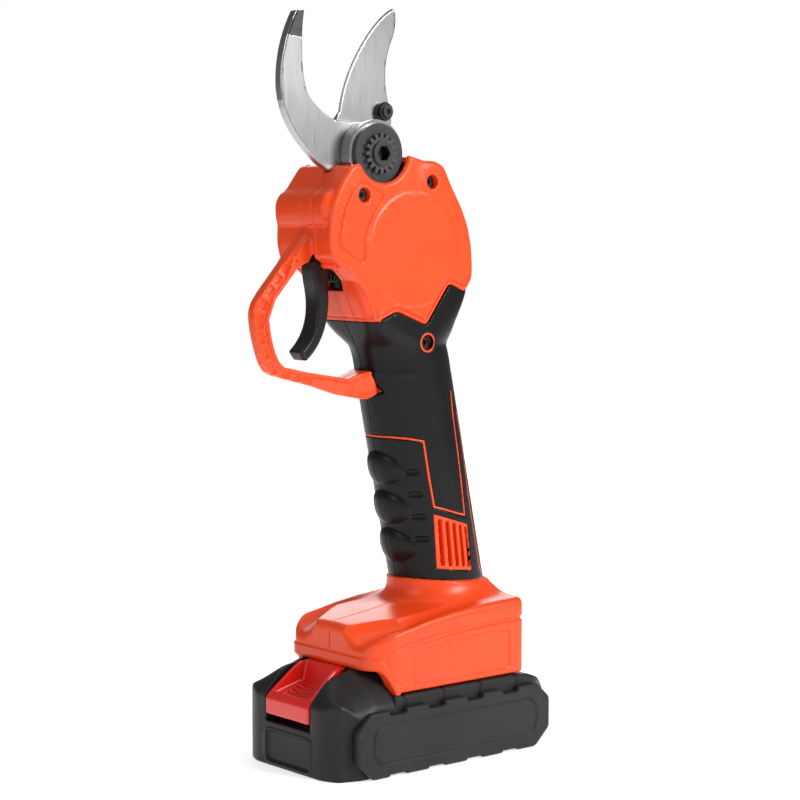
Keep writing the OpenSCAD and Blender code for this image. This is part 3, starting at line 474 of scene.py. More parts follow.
TRIM_FRONT = [(-44, 143.2), (-20, 143.1), (-13.4, 143), (-7.8, 142.3), (-2.1, 141), (1, 125.3),
              (2.9, 116.7),
              (4.1, 111.4), (10, 109.7), (16, 107.8), (21.9, 106.2), (20, 123.8), (17.8, 139.4), (15.9, 151.1),
              (15.4, 162)]
TRIM_REAR = [(20.8, 152.2), (24.2, 138.5), (26, 123), (27.9, 107.3), (30.6, 95.2), (33.6, 81.5), (36.4, 78)]
VENT_WINDOW = [(3.9, 108.1), (23.6, 101.9), (25.5, 81.2), (6.7, 83.4)]
GRIP_SCREW = (-1, 184.7)
SIDE_SCREWS = [(-36.7, 249.2), (1.1, 255)]
TRIGGER_PIN = (-48.5, 219.5)


HANDLE_BASE = (20, 77)   # x and z of a point on the handle's line


def handle_x(z):
    return HANDLE_BASE[0] - math.tan(LEAN) * (z - HANDLE_BASE[1])


def oval_field(grid, grow=0.0):
    """Distance to the leaning handle's oval."""
    a, b = GRIP_DEPTH + grow, GRIP_WIDTH + grow
    u = (grid.x - 20 + math.tan(LEAN) * (grid.z - 77)) / a
    v = grid.y / b
    size = np.sqrt(u * u + v * v)
    slope = np.sqrt((u / a) ** 2 + (v / b) ** 2)
    return (size * (size - 1) / np.maximum(slope, 1e-3)).astype(np.float32)


def head_field(grid):
    """The head's side outline with the disc's scoop cut out of it."""
    head = outline_field(grid.x, grid.z, rounded(HEAD_POINTS, 2.2))
    centre = (PIVOT[0], PIVOT[1] + 1.4)
    scoop = disc(grid.x, grid.z, centre, 14)
    wedge = outline_field(grid.x, grid.z, [(centre[0] + x, centre[1] + z) for x, z in
                                           [(-12.7, -6), (0, 0), (0, 20), (-30, 20)]])
    return smooth_max(head, -np.minimum(scoop, wedge), 1.2)


def neck_field(grid, grow=0.0):
    """The neck, where the handle's oval turns into a rounded box towards the head."""
    heights = grid.z.ravel()
    rows = np.nonzero((heights > 170) & (heights < 234))[0]
    field = np.full((grid.x.size, grid.y.size, heights.size), 30, np.float32)
    z = grid.z[:, :, rows]
    front, rear = eased(z, NECK_FRONT, 2.4) - grow, eased(z, NECK_REAR, 1.6) + grow
    power = 2 + 8 * smooth_step(z, 182, 204)
    a, b = (rear - front) / 2, GRIP_WIDTH + grow
    u = np.maximum(np.abs(grid.x - (front + rear) / 2) / a, 1e-4)
    v = np.maximum(np.abs(grid.y) / b, 1e-4)
    size = (u ** power + v ** power) ** (1 / power)
    slope = np.hypot(u ** (power - 1) / a, v ** (power - 1) / b)
    field[:, :, rows] = np.clip((size - 1) * size ** (power - 1) / np.maximum(slope, 1e-4), -30, 30)
    return field


def grip_edge(x):
    """Height of the soft grip's lower edge."""
    return 78.3 - 0.085 * x


def foot_bottom(grid):
    """Height of the foot's lower edge: level at the sides, arched at the front."""
    rise = np.clip((-31 - grid.x) / 8, 0, 1)
    return FOOT_FLOOR + 11.1 * np.sin(rise * math.pi / 2)


def foot_top(grid):
    """Height of the foot's top: a central hood, a sunken shoulder beside it and the side's edge."""
    side = np.abs(grid.y)
    hood = ramp(grid.x,
                [(-43, 62.3), (-37, 63.4), (-30, 64.2), (-24, 64.9), (-12, 66.6), (0, 67.6), (45, 69.4)])
    ridge = ramp(grid.x,
                 [(-43, 61.8), (-37.7, 62.7), (-30, 64), (-21, 65), (-2, 66.5), (16, 68), (45, 69.2)])
    edge = ramp(grid.x,
                [(-43, 59.5), (-31, 61.6), (-21.8, 63.3), (-12.7, 65.1), (1, 66.8), (15, 67.8), (45, 68.4)])
    width = ramp(grid.x, [(-43, 9.0), (-21, 21.3), (-2, 21.6), (45, 23)])
    t = np.clip((side - width) / (FOOT_HALF - width), 0, 1)
    depth = np.clip((25 - grid.x) / 59, 0, 1.1) ** 1.3
    shoulder = ridge + (edge - ridge) * t - 29.5 * t * (1 - t) ** 1.5 * depth
    crown = hood + (ridge - hood) * np.clip(side / width, 0, 1) ** 2
    return np.where(side < width, crown, shoulder)


FOOT_PLAN = [(-42, 0), (-42, -24), (-39, -28.2), (-35, -31), (-31, -33), (44.8, -33), (44.8, 0), (44.8, 33),
             (-31, 33),
             (-35, 31), (-39, 28.2), (-42, 24)]


def foot_field(grid):
    plan = outline_field(grid.x, grid.y, rounded(FOOT_PLAN, 3.5))
    body = smooth_max(plan, (grid.z - foot_top(grid)) * 0.93, 3.2)
    body = smooth_max(body, (foot_bottom(grid) - grid.z) * 0.8, 1.2)
    # Band along the arch that stands a little proud
    band = smooth_step(foot_bottom(grid) + 4.5 - grid.z, -0.3, 0.3) * smooth_step(-grid.x, 27.5, 29.5)
    body = body - 0.7 * band * (grid.x < -20)
    return body


def collar_field(grid):
    return np.maximum(oval_field(grid, 0.9), grid.z - 85.5)


def strip_height(x):
    return 59.15 - 5.5 * np.clip((40 - x) / 70, 0, 2) ** 2.2


# ---- Housing ----

def housing_half(side):
    """One half of the orange housing; side -1 is the left half."""
    step = 0.4
    edge = 2 * step
    low_y, high_y = (-FOOT_HALF - 2, edge) if side < 0 else (-edge, FOOT_HALF + 2)
    grid = Grid((-86.5, low_y, 32.5), (48.5, high_y, 269.5), step)
    x, y, z = grid.x, grid.y, grid.z
    across = np.abs(y)
    head2 = head_field(grid)
    face = HEAD_HALF - across

    # Head with its lug and cheeks
    head = slab(head2, y, -HEAD_HALF, HEAD_HALF, 1.7)
    lug_near, lug_far = -16.0, 19.0
    lug2 = outline_field(x, z,
                         rounded([(-44, 236.6), (-55.2, 236.8), (-57, 240), (-57.2, 245.5), (-55, 249.6),
                                        (-50.6, 251.6), (-44, 252)], 4.0))
    lug = slab(lug2, y, lug_near, lug_far, 2.5)
    recess = np.maximum(-(head2 + 0.8), across - 16.5)
    recess = np.maximum(recess, np.maximum(z - 236.5, x + 30))
    head = smooth_max(head, -recess, 2.4)
    head = smooth_min(head, lug, 2.5)
    head = smooth_min(head, slab(disc(x, z, (1.6, 255.4), 7.6), y, -HEAD_HALF + 0.6, HEAD_HALF - 0.6, 2.0),
                      3.0)

    # Details of the side faces
    near = face < 3
    dome = smooth_step(25.4 - np.hypot(x + 9, z - 225.5), 0, 1.0)
    head = head - 0.28 * dome * near * (head2 < -2.6)
    loop = outline_field(x, z,
                         rounded([(-37.8, 255.4), (-26, 249.4), (-27.2, 247.2), (-32.8, 240.6),
                                  (-36, 232.8),
                                        (-36.4, 223.9), (-37.8, 220.2), (-50, 227.4), (-50.3, 231.7), (-47.8, 242.8),
                                        (-42.8, 251.7)], 2.2))
    head = head + near * 0.75 * smooth_step(0.6 - np.abs(loop), 0, 0.45)
    rim = smooth_step(0.75 - np.abs(head2 + 2.2), 0, 0.5) * smooth_step(216 - z, 0, 3) * smooth_step(x, -34, -32)
    head = head + 0.9 * rim * near
    # Second seam over the front
    if side < 0:
        line = smooth_step(0.6 - np.abs(y + 8), 0, 0.5)
        head = head + 0.7 * line * (np.minimum(head2, lug2) > -2.5) * (x < -25)

    # Guard: a flat rim inside, sloping channels outside that meet in a ridge
    inner, along = path_field(x, z, GUARD_INNER)
    guard2 = outline_field(x, z, GUARD_OUTER + GUARD_INNER[::-1])
    gusset = 9.5 * np.clip((x + 68) / 13, 0, 1) * (z > 212)
    rim_width = 1.7 + gusset
    slope = np.clip((inner - rim_width) / np.maximum(8.0 - rim_width * 0.6, 3), 0, 1)
    flare = 4.2 * smooth_step(x, -29, -19) * (z < 180)
    half_depth = np.where(inner < rim_width, 5.0, 4.0 - 2.6 * slope) + flare
    guard = smooth_max(guard2, (across - half_depth) * 0.93, 0.45)
    period = 6.0
    phase = np.mod(along + 1.0, period)
    pocket = smooth_step(np.minimum(phase, period - phase), 0.95, 1.3) * smooth_step(inner, 2.6, 2.95)
    pocket = pocket * smooth_step(5.3 - inner, 0, 0.45) * (along > 14.5) * (along < 83)
    guard = guard + 0.9 * pocket * (across > 1.6)
    guard = np.maximum(guard, -(oval_field(grid, -SOFT)))
    body = smooth_min(head, guard, 2.0)

    # Handle core and neck under the soft grip
    core = np.maximum(oval_field(grid, -SOFT), np.maximum(76 - z, z - 178))
    body = np.minimum(body, np.minimum(core, neck_field(grid, -SOFT)))
    # Red front of the neck behind the trigger, with a line above its lower edge
    bare = neck_field(grid, -0.15) + 0.45 * smooth_step(0.6 - np.abs(z - LIP - 1.8), 0, 0.45)
    if side < 0:
        bare = bare + 0.5 * line
    body = np.minimum(body, np.maximum(bare, np.maximum(LIP - z, x + 27)))
    # Bosses that cover the trigger pin's ends
    body = np.minimum(body, slab(disc(x, z, TRIGGER_PIN, 1.9), across, 5.7, 15.4, 0.3))

    # Orange showing through the grip: trim lines, vent window and the ring of the grip screw
    skin = np.minimum(np.maximum(oval_field(grid, -0.1), z - 178), neck_field(grid, -0.1))
    shown = np.minimum(path_field(x, z, TRIM_FRONT)[0], path_field(x, z, TRIM_REAR)[0]) - 0.5
    shown = np.minimum(shown, outline_field(x, z, VENT_WINDOW))
    shown = np.minimum(shown, np.maximum(disc(x, z, GRIP_SCREW, 4.45), z - 190))
    body = np.minimum(body, np.maximum(skin, np.maximum(shown, 77 - z)))

    # Foot and collar
    foot = foot_field(grid)
    foot = smooth_min(foot, collar_field(grid), 11.0)
    foot = np.maximum(foot, z - 85)
    wall_near = (across > 27) | (x > 40)
    strip = np.abs(z - strip_height(x)) - 1.05
    strip = np.maximum(strip, -30.5 - x)
    foot = foot + 0.7 * smooth_step(-strip, -0.2, 0.35) * wall_near
    panel = outline_field(x, z,
                          rounded([(-20.9, 37.8), (-20.9, 50.6), (-8, 52.9), (8, 54.4), (22, 55),
                                   (35.6, 55),
                                         (35.7, 37.5)], 2.0))
    foot = foot + (0.35 * smooth_step(-panel, -0.2, 0.35) + 0.4 * smooth_step(0.55 - np.abs(panel), 0, 0.4)) * (across > 27)
    foot = foot + 1.2 * smooth_step(z - grip_edge(x), -0.2, 0.3)
    body = np.minimum(body, foot)

    # Inside: hollow shell, pack pocket, slots
    inside = np.maximum(oval_field(grid, -SOFT - WALL), z - 178)
    inside = np.maximum(np.minimum(inside, neck_field(grid, -SOFT - WALL)), 60 - z)
    hollow_head = slab(head2 + WALL, y, -HEAD_HALF + WALL, HEAD_HALF - WALL, 1.0)
    hollow_foot = np.maximum(foot + WALL + 0.8, 49 - z)
    inside = np.minimum(inside, np.minimum(hollow_head, hollow_foot))
    pocket_low = np.maximum(np.maximum(across - 27.3, z - 45.2 - 1.3 * (x > -37)),
                            np.maximum(x - 38, -70 - x))
    pocket_low = np.maximum(pocket_low,
                            np.where((x < -30) & (z < 45), outline_field(x, y, FOOT_PLAN) + 2.4, -50))
    rails = np.maximum(np.abs(z - 38.45) - 1.15, np.maximum(20.6 - across, np.abs(x - 4.25) - 34.25))
    inside = np.minimum(inside, np.maximum(pocket_low, -rails))
    pivot_room = slab(disc(x, z, PIVOT, 16.5), y, -16.6, 16.6)
    hook_room = slab(outline_field(x, z, HOOK_POINTS) - 0.4, y, -6.1, -1.3)
    gear_room = slab(outline_field(x, z, [(-41.4, 250), (-11, 250), (-11, 275), (-41.4, 275)]), y, -1.4,
                     9.4)
    trigger_room = slab(outline_field(x, z,
                                      [(-57, 208), (-57, 219.2), (-53.7, 224.6), (-28.4, 224.6),
                                       (-28.4, 208)]),
                        y, -5.6, 5.6)
    inside = np.minimum(inside,
                        np.minimum(np.minimum(pivot_room, trigger_room), np.minimum(hook_room, gear_room)))
    inside = np.minimum(inside,
                        slab(outline_field(x, y, [(-2, -16), (36, -16), (36, 16), (-2, 16)]), z, 44, 52))
    # Bosses round the screws
    bosses = np.minimum(*[disc(x, z, p, 3.8) for p in SIDE_SCREWS])
    bosses = np.maximum(np.minimum(bosses, disc(x, z, GRIP_SCREW, 3.6)), 13.0 - across)
    body = np.maximum(body, -np.maximum(inside, -bosses))
    bore_floor = 14.1 if side < 0 else 15.7
    for p in SIDE_SCREWS:
        body = np.maximum(body, -np.maximum(disc(x, z, p, 3.2), bore_floor - across))
        body = np.maximum(body, -disc(x, z, p, 1.7))
    body = np.maximum(body, -np.maximum(disc(x, z, GRIP_SCREW, 3.2), bore_floor - across))
    if side > 0:
        for p in [(39.5, 56), (-30, 51.5)]:
            body = np.maximum(body, -np.maximum(disc(x, z, p, 3.1), 22 - across))
        body = np.maximum(body, -np.maximum(disc(x, z, (20, 92), 3.1), 14 - across))
    # Vent slots
    for i in range(5):
        slot2 = path_field(x, z,
                           [(7.0 + 3.8 * i, 104.8 - 1.15 * i), (9.4 + 3.7 * i, 85.2 - 0.43 * i)])[0] - 0.95
        body = np.maximum(body, -np.maximum(slot2, 10 - across))
    body = np.maximum(body, y * side * -1)
    name = "housing_left_shell" if side < 0 else "housing_right_shell"
    piece = moulded(name, grid, body, 0.02)
    paint(piece, ORANGE)
    stands_for(piece, "tool", "orange_shell", "housing_left" if side < 0 else "housing_right")


# ---- Soft grip ----

def grip_half(side):
    step = 0.42
    edge = 2 * step
    low_y, high_y = (-21.5, edge) if side < 0 else (-edge, 21.5)
    grid = Grid((-43.5, low_y, 73.0), (45.5, high_y, 217), step)
    x, y, z = grid.x, grid.y, grid.z
    across = np.abs(y)
    oval = oval_field(grid)
    # Finger pads round the front, each with a clear border
    front = handle_x(z)
    turn = np.arctan2(across / GRIP_WIDTH, (front - x) / GRIP_DEPTH) * 21
    swell = 0
    for height in (128.7, 111, 93.8):
        level = z - height + 0.04 * turn
        reach = 1 - (turn / 14.2) ** 2 - (level / 7.5) ** 2
        swell = np.maximum(swell, 2.3 * np.clip(reach, 0, 1) ** 0.62)
    skin = oval - swell
    for i in range(4):
        spot = ((x + 5.9 - 2.05 * i) / 2.9) ** 2 + ((z - 127.4 + 10.15 * i) / 1.3) ** 2
        skin = skin + 0.9 * np.clip(1 - spot, 0, 1) ** 0.5
    body = np.minimum(np.maximum(skin, z - 178), neck_field(grid))
    inner = np.minimum(np.maximum(oval_field(grid, -SOFT), z - 178), neck_field(grid, -SOFT))
    body = np.maximum(body, -inner)
    # Cut back where the orange shell shows
    head2 = outline_field(x, z, rounded(HEAD_POINTS, 2.2))
    body = np.maximum(body, -(head2 - 0.1))
    guard2 = outline_field(x, z, GUARD_OUTER + GUARD_INNER[::-1])
    body = np.maximum(body, -np.maximum(guard2 - 0.1, across - 9.2))
    body = np.maximum(body, -np.maximum(LIP - z, x + 27))
    shown = np.minimum(path_field(x, z, TRIM_FRONT)[0], path_field(x, z, TRIM_REAR)[0]) - 0.55
    shown = np.minimum(shown, outline_field(x, z, VENT_WINDOW) - 0.05)
    screw = disc(x, z, GRIP_SCREW, 0)
    shown = np.minimum(shown, np.minimum(np.abs(screw - 4.1) - 0.35, screw - 3.1))
    if side > 0:
        shown = np.minimum(shown, disc(x, z, (20, 92), 4.2))
    body = np.maximum(body, -shown)
    body = smooth_max(body, grip_edge(x) - z, 0.8)
    body = np.maximum(body, y * side * -1)
    piece = moulded("grip_left_soft" if side < 0 else "grip_right_soft", grid, body, 0.02)
    paint(piece, GRIP)
    stands_for(piece, "tool", "soft_grip", "grip_left" if side < 0 else "grip_right")


# ---- Blades ----

HOOK_POINTS = curve((-58.2, 326.8), (-59.9, 316), (-60.4, 303), (-57.6, 294.5), 12) + curve(
    (-57.2, 293.2), (-55.6, 289.6), (-50.6, 284.4), (-41.6, 281.2), 8) + [(-36, 280.4), (-26, 281)] + arc(
    PIVOT, 14, 80, -60, 12) + [(-25, 252.4), (-38, 253.6), (-45, 259.2)] + curve(
    (-51, 262.6), (-60, 270.5), (-67.5, 277.5), (-70.4, 289), 9) + curve(
    (-71.2, 294), (-71.8, 304.5), (-69.4, 315.5), (-63, 326.5), 11)
HOOK_OUTER = HOOK_POINTS[-22:]
HOOK_TIP = curve((-69.4, 315.5), (-67.9, 319.5), (-65.6, 323.2), (-63, 326.5), 12)
BLADE_EDGE = curve((-6.4, 330.6), (-16.5, 326.6), (-33.8, 305), (-36.6, 285), 14)
BLADE_POINTS = BLADE_EDGE + [(-38, 281.7)] + arc(PIVOT, 13, 150, 345, 16) + [(-9.4, 272), (-7.2, 281.5)] + curve(
    (-8.4, 288), (-11.2, 296), (-12.4, 306.5), (-6.6, 317.6), 8) + [(-5.2, 321.5), (-4.7, 325.5),
                                                                    (-5, 328.6)]
BOSS_AT = (-12.9, 285.6)


def fixed_blade():
    grid = Grid((-73.5, -7.0, 251), (-9.5, -0.5, 329.5), 0.22)
    x, y, z = grid.x, grid.y, grid.z
    hook2 = outline_field(x, z, HOOK_POINTS)
    body = slab(hook2, y, -5.7, -1.7, 0.35)
    # The near face lies a little below the ridge along the outer edge, and the tip is ground flat
    outer = path_field(x, z, HOOK_OUTER)[0]
    ground = outline_field(x, z, [(-68, 316.6), (-54, 314.9), (-54, 330), (-68, 330)])
    face = smooth_step(outer, 0.6, 0.9) * 0.3 + 0.35 * smooth_step(-ground, -0.1, 0.25) * (outer > 1.2)
    body = np.maximum(body, -5.7 + face - y)
    body = np.maximum(body, -disc(x, z, PIVOT, 5.0))
    piece = moulded("fixed_blade_ground", grid, body, 0.01)
    paint(piece, BLADE)
    # The tip's ground flat gets the near-black steel: a painted shade standing in for its dark reflection
    piece.data.materials.append(GROUND_FLAT_SHADE)
    for face in piece.data.polygons:
        spot = face.center / MM
        if face.normal.y < -0.8 and spot.z > 316.6 - 0.12 * (spot.x + 68):
            if min(math.hypot(spot.x - a, spot.z - b) for a, b in HOOK_TIP) > 0.9:
                face.material_index = 1
    stands_for(piece, "tool", "blade_steel", "fixed_blade")


def moving_blade():
    grid = Grid((-40.5, -2.2, 252.5), (-2.5, 3.0, 332), 0.22)
    x, y, z = grid.x, grid.y, grid.z
    blade2 = outline_field(x, z, BLADE_POINTS)
    body = slab(blade2, y, -1.3, 2.0, 0.3)
    # Ground on its far face, with a fine honed edge on its near face
    edge = path_field(x, z, BLADE_EDGE)[0]
    body = np.maximum(body, (y - 2.0 + 2.5 * np.clip((4.6 - edge) / 4.6, 0, 1)) * 0.86)
    body = np.maximum(body, (-1.3 + 0.45 * np.clip((0.9 - edge) / 0.9, 0, 1) - y) * 0.9)
    body = np.maximum(body, -disc(x, z, PIVOT, 7.05))
    body = np.maximum(body, -disc(x, z, BOSS_AT, 2.0))
    piece = moulded("moving_blade_ground", grid, body, 0.01)
    paint(piece, BLADE)
    stands_for(piece, "cutter", "blade_steel", "moving_blade")


# ---- Trigger ----

def trigger_piece():
    grid = Grid((-62.5, -5.9, 177.5), (-42, 5.9, 225.5), 0.25)
    x, y, z = grid.x, grid.y, grid.z
    points = [(-51, 223.6), (-53.4, 221), (-53.4, 217.5)] + curve(
        (-52.6, 212), (-49.6, 201), (-50.6, 190), (-60.6, 182.2), 12) + curve(
        (-57.4, 178), (-50, 183), (-45, 192), (-44.7, 204), 10) + [(-45, 212), (-43.8, 219), (-45.6, 223.6)]
    flat = outline_field(x, z, rounded(points, 1.4))
    body = slab(flat, y, -4.9, 4.9, 1.5)
    body = np.maximum(body, -disc(x, z, TRIGGER_PIN, 1.55))
    pocket = np.hypot(y, z - 214.4) - 3.4
    body = np.maximum(body, -np.maximum(pocket, -46.6 - x))
    piece = moulded("trigger_lever", grid, body, 0.01)
    paint(piece, TRIGGER)
    stands_for(piece, "trigger", "trigger_plastic", "trigger")


# ---- Battery pack ----

PACK_PLAN = [(-65, -23.5), (-65, 23.5), (-61.3, 31.3), (-57, 32.5), (-52, 34.6), (50, 34.6), (62, 27),
             (64, 18),
             (64, -18), (62, -27), (50, -34.6), (-52, -34.6), (-57, -32.5), (-61.3, -31.3)]
LATCH_SIDE = [(-65.6, 22.8), (-65.6, 30.6), (-63.4, 33.0), (-58.5, 37), (-53, 41.5), (-48.6, 44.4),
              (-42.4, 44.8),
              (-42.4, 43), (-44.2, 42.6), (-44.2, 25), (-60, 22.8)]


def pack_top(grid):
    """Height of the pack's top: a dome at the front, a block under the foot, shoulders at the sides."""
    side = np.abs(grid.y)
    share = np.clip((grid.x + 65.5) / 16, 0, 1)
    middle = 31 + 12.2 * (1 - (1 - share) ** 1.8) + 1.8 * smooth_step(grid.x, -50, -42)
    fall = 13 * np.clip((side - 14) / 19, 0, 2) ** 2 * (0.12 + 0.88 * smooth_step(grid.x, -65, -52))
    dome = middle - fall
    dome = np.where(side > 25.4, np.minimum(dome, foot_bottom(grid) - 0.9), dome)
    block = np.where(side < 25.6, 45.0, PACK_TOP)
    back = ramp(grid.x, [(36, 60), (36.1, PACK_TOP), (46, 33.3), (55, 30), (61, 24.8), (64, 19)])
    top = np.where(grid.x < -33, np.maximum(dome, 0), block)
    return np.minimum(top, back)


def pack_body(grid):
    x, y, z = grid.x, grid.y, grid.z
    plan = outline_field(x, y, rounded(PACK_PLAN, 3.0))
    body = smooth_max(plan, (z - pack_top(grid)) * 0.85, 1.6)
    return smooth_max(body, -z, 1.0)


def battery_pieces():
    step = 0.42
    grid = Grid((-66.6, -36.4, -1.2), (66.6, 36.4, 46.4), step)
    x, y, z = grid.x, grid.y, grid.z
    side = np.abs(y)
    body = pack_body(grid)
    outer = body.copy()
    # Blank, recessed plate on the front with a thin raised rim
    plate = outline_field(y, z, rounded([(-16, 1.8), (-16, 16.4), (16, 16.4), (16, 1.8)], 3.0))
    front = x < -60
    body = body + front * (0.8 * smooth_step(-plate, 0.2, 0.7) - 0.35 * smooth_step(0.9 - np.abs(plate), 0, 0.5))
    # Upright ribs between the side's notches
    for station in (-27.4, -4.9, 16.6, 38):
        body = body + 0.5 * smooth_step(0.7 - np.abs(x - station), 0, 0.4) * (side > 31) * (z > 26)
    base_plan = outline_field(x, y, rounded(PACK_PLAN, 3.0))
    inside = np.minimum(np.maximum(outer + 2.0, z - 43), np.maximum(base_plan + 1.8, z - 4))
    rails = np.maximum(20.2 - side, np.maximum(np.abs(z - 38.45) - 1.5, -33 - x))
    body = np.maximum(body, -inside)
    body = np.maximum(body, -np.maximum(rails, side - 30.2))
    for centre in (-10, 0, 10):
        body = np.maximum(body, -np.maximum(np.abs(y - centre) - 1.5, np.maximum(37 - z, 2 - x)))
    opening = np.maximum(side - 15.9, np.maximum(19.7 - z, x + np.where(z > 40, 41.9, 43.8)))
    body = np.maximum(body, -opening)
    body = np.maximum(body, -np.maximum(side - 9.4, np.maximum(28 - z, np.abs(x + 42.5) - 3.5)))
    # Wall round the latch's well
    well = np.maximum(side - 17.6, np.maximum(18.0 - z, np.maximum(x + 42.2, outer)))
    well = np.maximum(well, -opening)
    well = np.maximum(well, -np.maximum(side - 9.4, np.maximum(28 - z, np.abs(x + 42.5) - 3.5)))
    body = np.minimum(body, well)
    for sx in (-56, 56):
        for sy in (-20, 20):
            post = disc(x, y, (sx, sy), 3.0)
            body = np.minimum(body, np.maximum(np.maximum(post, outer + 0.5), 17.4 - z))
            body = np.maximum(body, -np.maximum(disc(x, y, (sx, sy), 1.35), z - 24))
    cover = moulded("battery_cover_shell", grid, body, 0.02)
    paint(cover, PACK)
    stands_for(cover, "battery", "pack_shell", "battery_cover")

    low_grid = Grid((-66.6, -36.4, -1.2), (66.6, 36.4, 18), step)
    x, y, z = low_grid.x, low_grid.y, low_grid.z
    tray = slab(outline_field(x, y, rounded(PACK_PLAN, 3.0)) + 1.9, z, 0, 2.2, 0.3)
    for sx in (-56, 56):
        for sy in (-20, 20):
            tray = np.minimum(tray, np.maximum(disc(x, y, (sx, sy), 3.0), np.maximum(1.2 - z, z - 16)))
            tray = np.maximum(tray, -disc(x, y, (sx, sy), 1.6))
            tray = np.maximum(tray, -np.maximum(disc(x, y, (sx, sy), 2.7), z - 1.2))
    # Shallow ribs under the base
    rib = np.abs(np.mod(x + 6, 12) - 6) - 0.6
    tray = tray + 0.4 * smooth_step(-rib, -0.2, 0.3) * (z < 1) * (np.abs(y) < 28) * (np.abs(x) < 48)
    case = moulded("battery_case_tray", low_grid, tray, 0.02)
    paint(case, PACK)
    stands_for(case, "battery", "pack_shell", "battery_case")


def bumper_piece(side):
    step = 0.4
    low_y, high_y = (-39.2, -23.5) if side < 0 else (23.5, 39.2)
    grid = Grid((-58.5, low_y, -1.2), (58.5, high_y, 31), step)
    x, y, z = grid.x, grid.y, grid.z
    across = np.abs(y)
    points = [(-47.6, 0), (-56.3, 8), (-56.3, 22.2), (-48.4, 29.4), (48.4, 29.4), (56.3, 22.2), (56.3, 8),
              (47.6, 0)]
    flat = outline_field(x, z, rounded(points, 1.6))
    flat = flat + 0.14 * np.clip(38 - across, 0, 14)
    body = slab(flat, across, 25.4, 38.0, 1.4)
    stations = (-33.5, -11.4, 10.8, 32)
    for centre in stations:
        notch = rounded([(centre - 5, 27), (centre - 5, 34), (centre + 5, 34), (centre + 5, 27)], 1.8)
        body = smooth_max(body, -np.maximum(outline_field(x, z, notch), 33.4 - across), 0.5)
        low = np.maximum(np.abs(x - centre) - 5 + z * 0.4, z - 1.8)
        body = smooth_max(body, -np.maximum(low, 35.4 - across), 0.5)
    panel = outline_field(x, z, rounded([(-47.5, 6.5), (-47.5, 23.5), (47.5, 23.5), (47.5, 6.5)], 8.4, 8))
    body = body + (across > 36.4) * 0.55 * smooth_step(0.75 - np.abs(panel), 0, 0.5)
    # Hollow where the pack's own wall lies
    core = np.maximum(outline_field(x, y, rounded(PACK_PLAN, 3.0)), (z - pack_top(grid)) * 0.85)
    body = np.maximum(body, -(core - 0.05))
    name = "bumper_left_cap" if side < 0 else "bumper_right_cap"
    piece = moulded(name, grid, body, 0.02)
    paint(piece, BUMPER)
    stands_for(piece, "battery", "bumper_rubber", "bumper_left" if side < 0 else "bumper_right")


def latch_piece():
    grid = Grid((-66.6, -16.6, 21.6), (-39, 16.6, 47.4), 0.22)
    x, y, z = grid.x, grid.y, grid.z
    side = np.abs(y)
    flat = outline_field(x, z, rounded(LATCH_SIDE, 1.4))
    taper = 15.3 - 0.11 * (x + 65.5)
    body = smooth_max(flat, side - taper, 1.2)
    # Finger scoop with four bowed ribs
    floor_z = 31.0 + 0.30 * (x + 62) + 0.006 * side ** 2
    back = (x + 47.4) - 0.25 * (z - 38)
    front = -(x + 62.6) - 0.1 * (z - 31)
    scoop = smooth_max(floor_z - z, smooth_max(back, np.maximum(side - (taper - 2.3), front), 1.2), 1.2)
    bow = x - 0.012 * side ** 2
    ribs = 0
    for i in range(4):
        ribs = np.maximum(ribs, smooth_step(0.6 - np.abs(bow + 59.2 - 2.7 * i), 0, 0.4))
    scoop = scoop + 1.3 * ribs * smooth_step(8.8 - side, 0, 0.8)
    body = smooth_max(body, -scoop, 0.5)
    tongue = np.maximum(np.maximum(side - 9, np.abs(x + 42.4) - 2.0), np.maximum(36 - z, z - 44.7))
    body = np.minimum(body, tongue)
    body = np.maximum(body, -np.maximum(np.maximum(side - 12, np.abs(x + 51.5) - 5.5), z - 26.4))
    piece = moulded("latch_button_scooped", grid, body, 0.01)
    paint(piece, LATCH)
    stands_for(piece, "latch", "latch_red", "latch_button")


# ---- Assembly ----

housing_half(-1)
housing_half(1)
grip_half(-1)
grip_half(1)
fixed_blade()
moving_blade()
trigger_piece()
battery_pieces()
bumper_piece(-1)
bumper_piece(1)
latch_piece()

NODE_SLOTS = {
    "cast_metal": ["head_bracket", "gear_case", "sector_gear"],
    "bright_steel": ["ring_gear", "thrust_washer", "output_bearing", "motor_can", "motor_bearings",
                     "trigger_pin",
                     "output_carrier", "bevel_pinion", "first_carrier", "motor_shaft",
                     "latch_spring", "cell_strips"],
    "black_metal": ["blade_screws", "lock_disc", "spline_washer", "pivot_bolt", "pivot_nut",
                    "housing_screws_left",
                    "trigger_spring", "housing_screws_right", "blade_boss", "blade_boss_screw", "motor_rotor", "battery_screws"],
    "bronze": ["pivot_bush", "planet_1a", "planet_1b", "planet_1c", "planet_2a", "planet_2b", "planet_2c",
               "battery_contacts"],
    "copper": ["motor_windings", "terminal_blades"],
    "black_plastic": ["motor_end_cap", "trigger_switch", "terminal_block", "cell_holder"],
    "board": ["control_board", "battery_board"],
    "lead_insulation": ["motor_leads"],
    "cell_wrap": ["battery_cells"],
}
BEVELLED = {"lock_disc": 0.5, "spline_washer": 0.25, "pivot_bolt": 0.4, "pivot_nut": 0.4,
            "thrust_washer": 0.2,
            "head_bracket": 0.5, "blade_boss": 0.3, "blade_boss_screw": 0.3, "housing_screws_left": 0.3,
            "housing_screws_right": 0.3}
for slot_name, names in NODE_SLOTS.items():
    for node_name in names:
        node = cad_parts[node_name]
        paint(node, MATERIALS[slot_name])
        if node_name in BEVELLED:
            bevel = node.modifiers.new("edges", "BEVEL")
            bevel.width = BEVELLED[node_name] * MM
            bevel.segments = 2
            bevel.limit_method = "ANGLE"
            bevel.angle_limit = math.radians(35)
            bevel.harden_normals = True
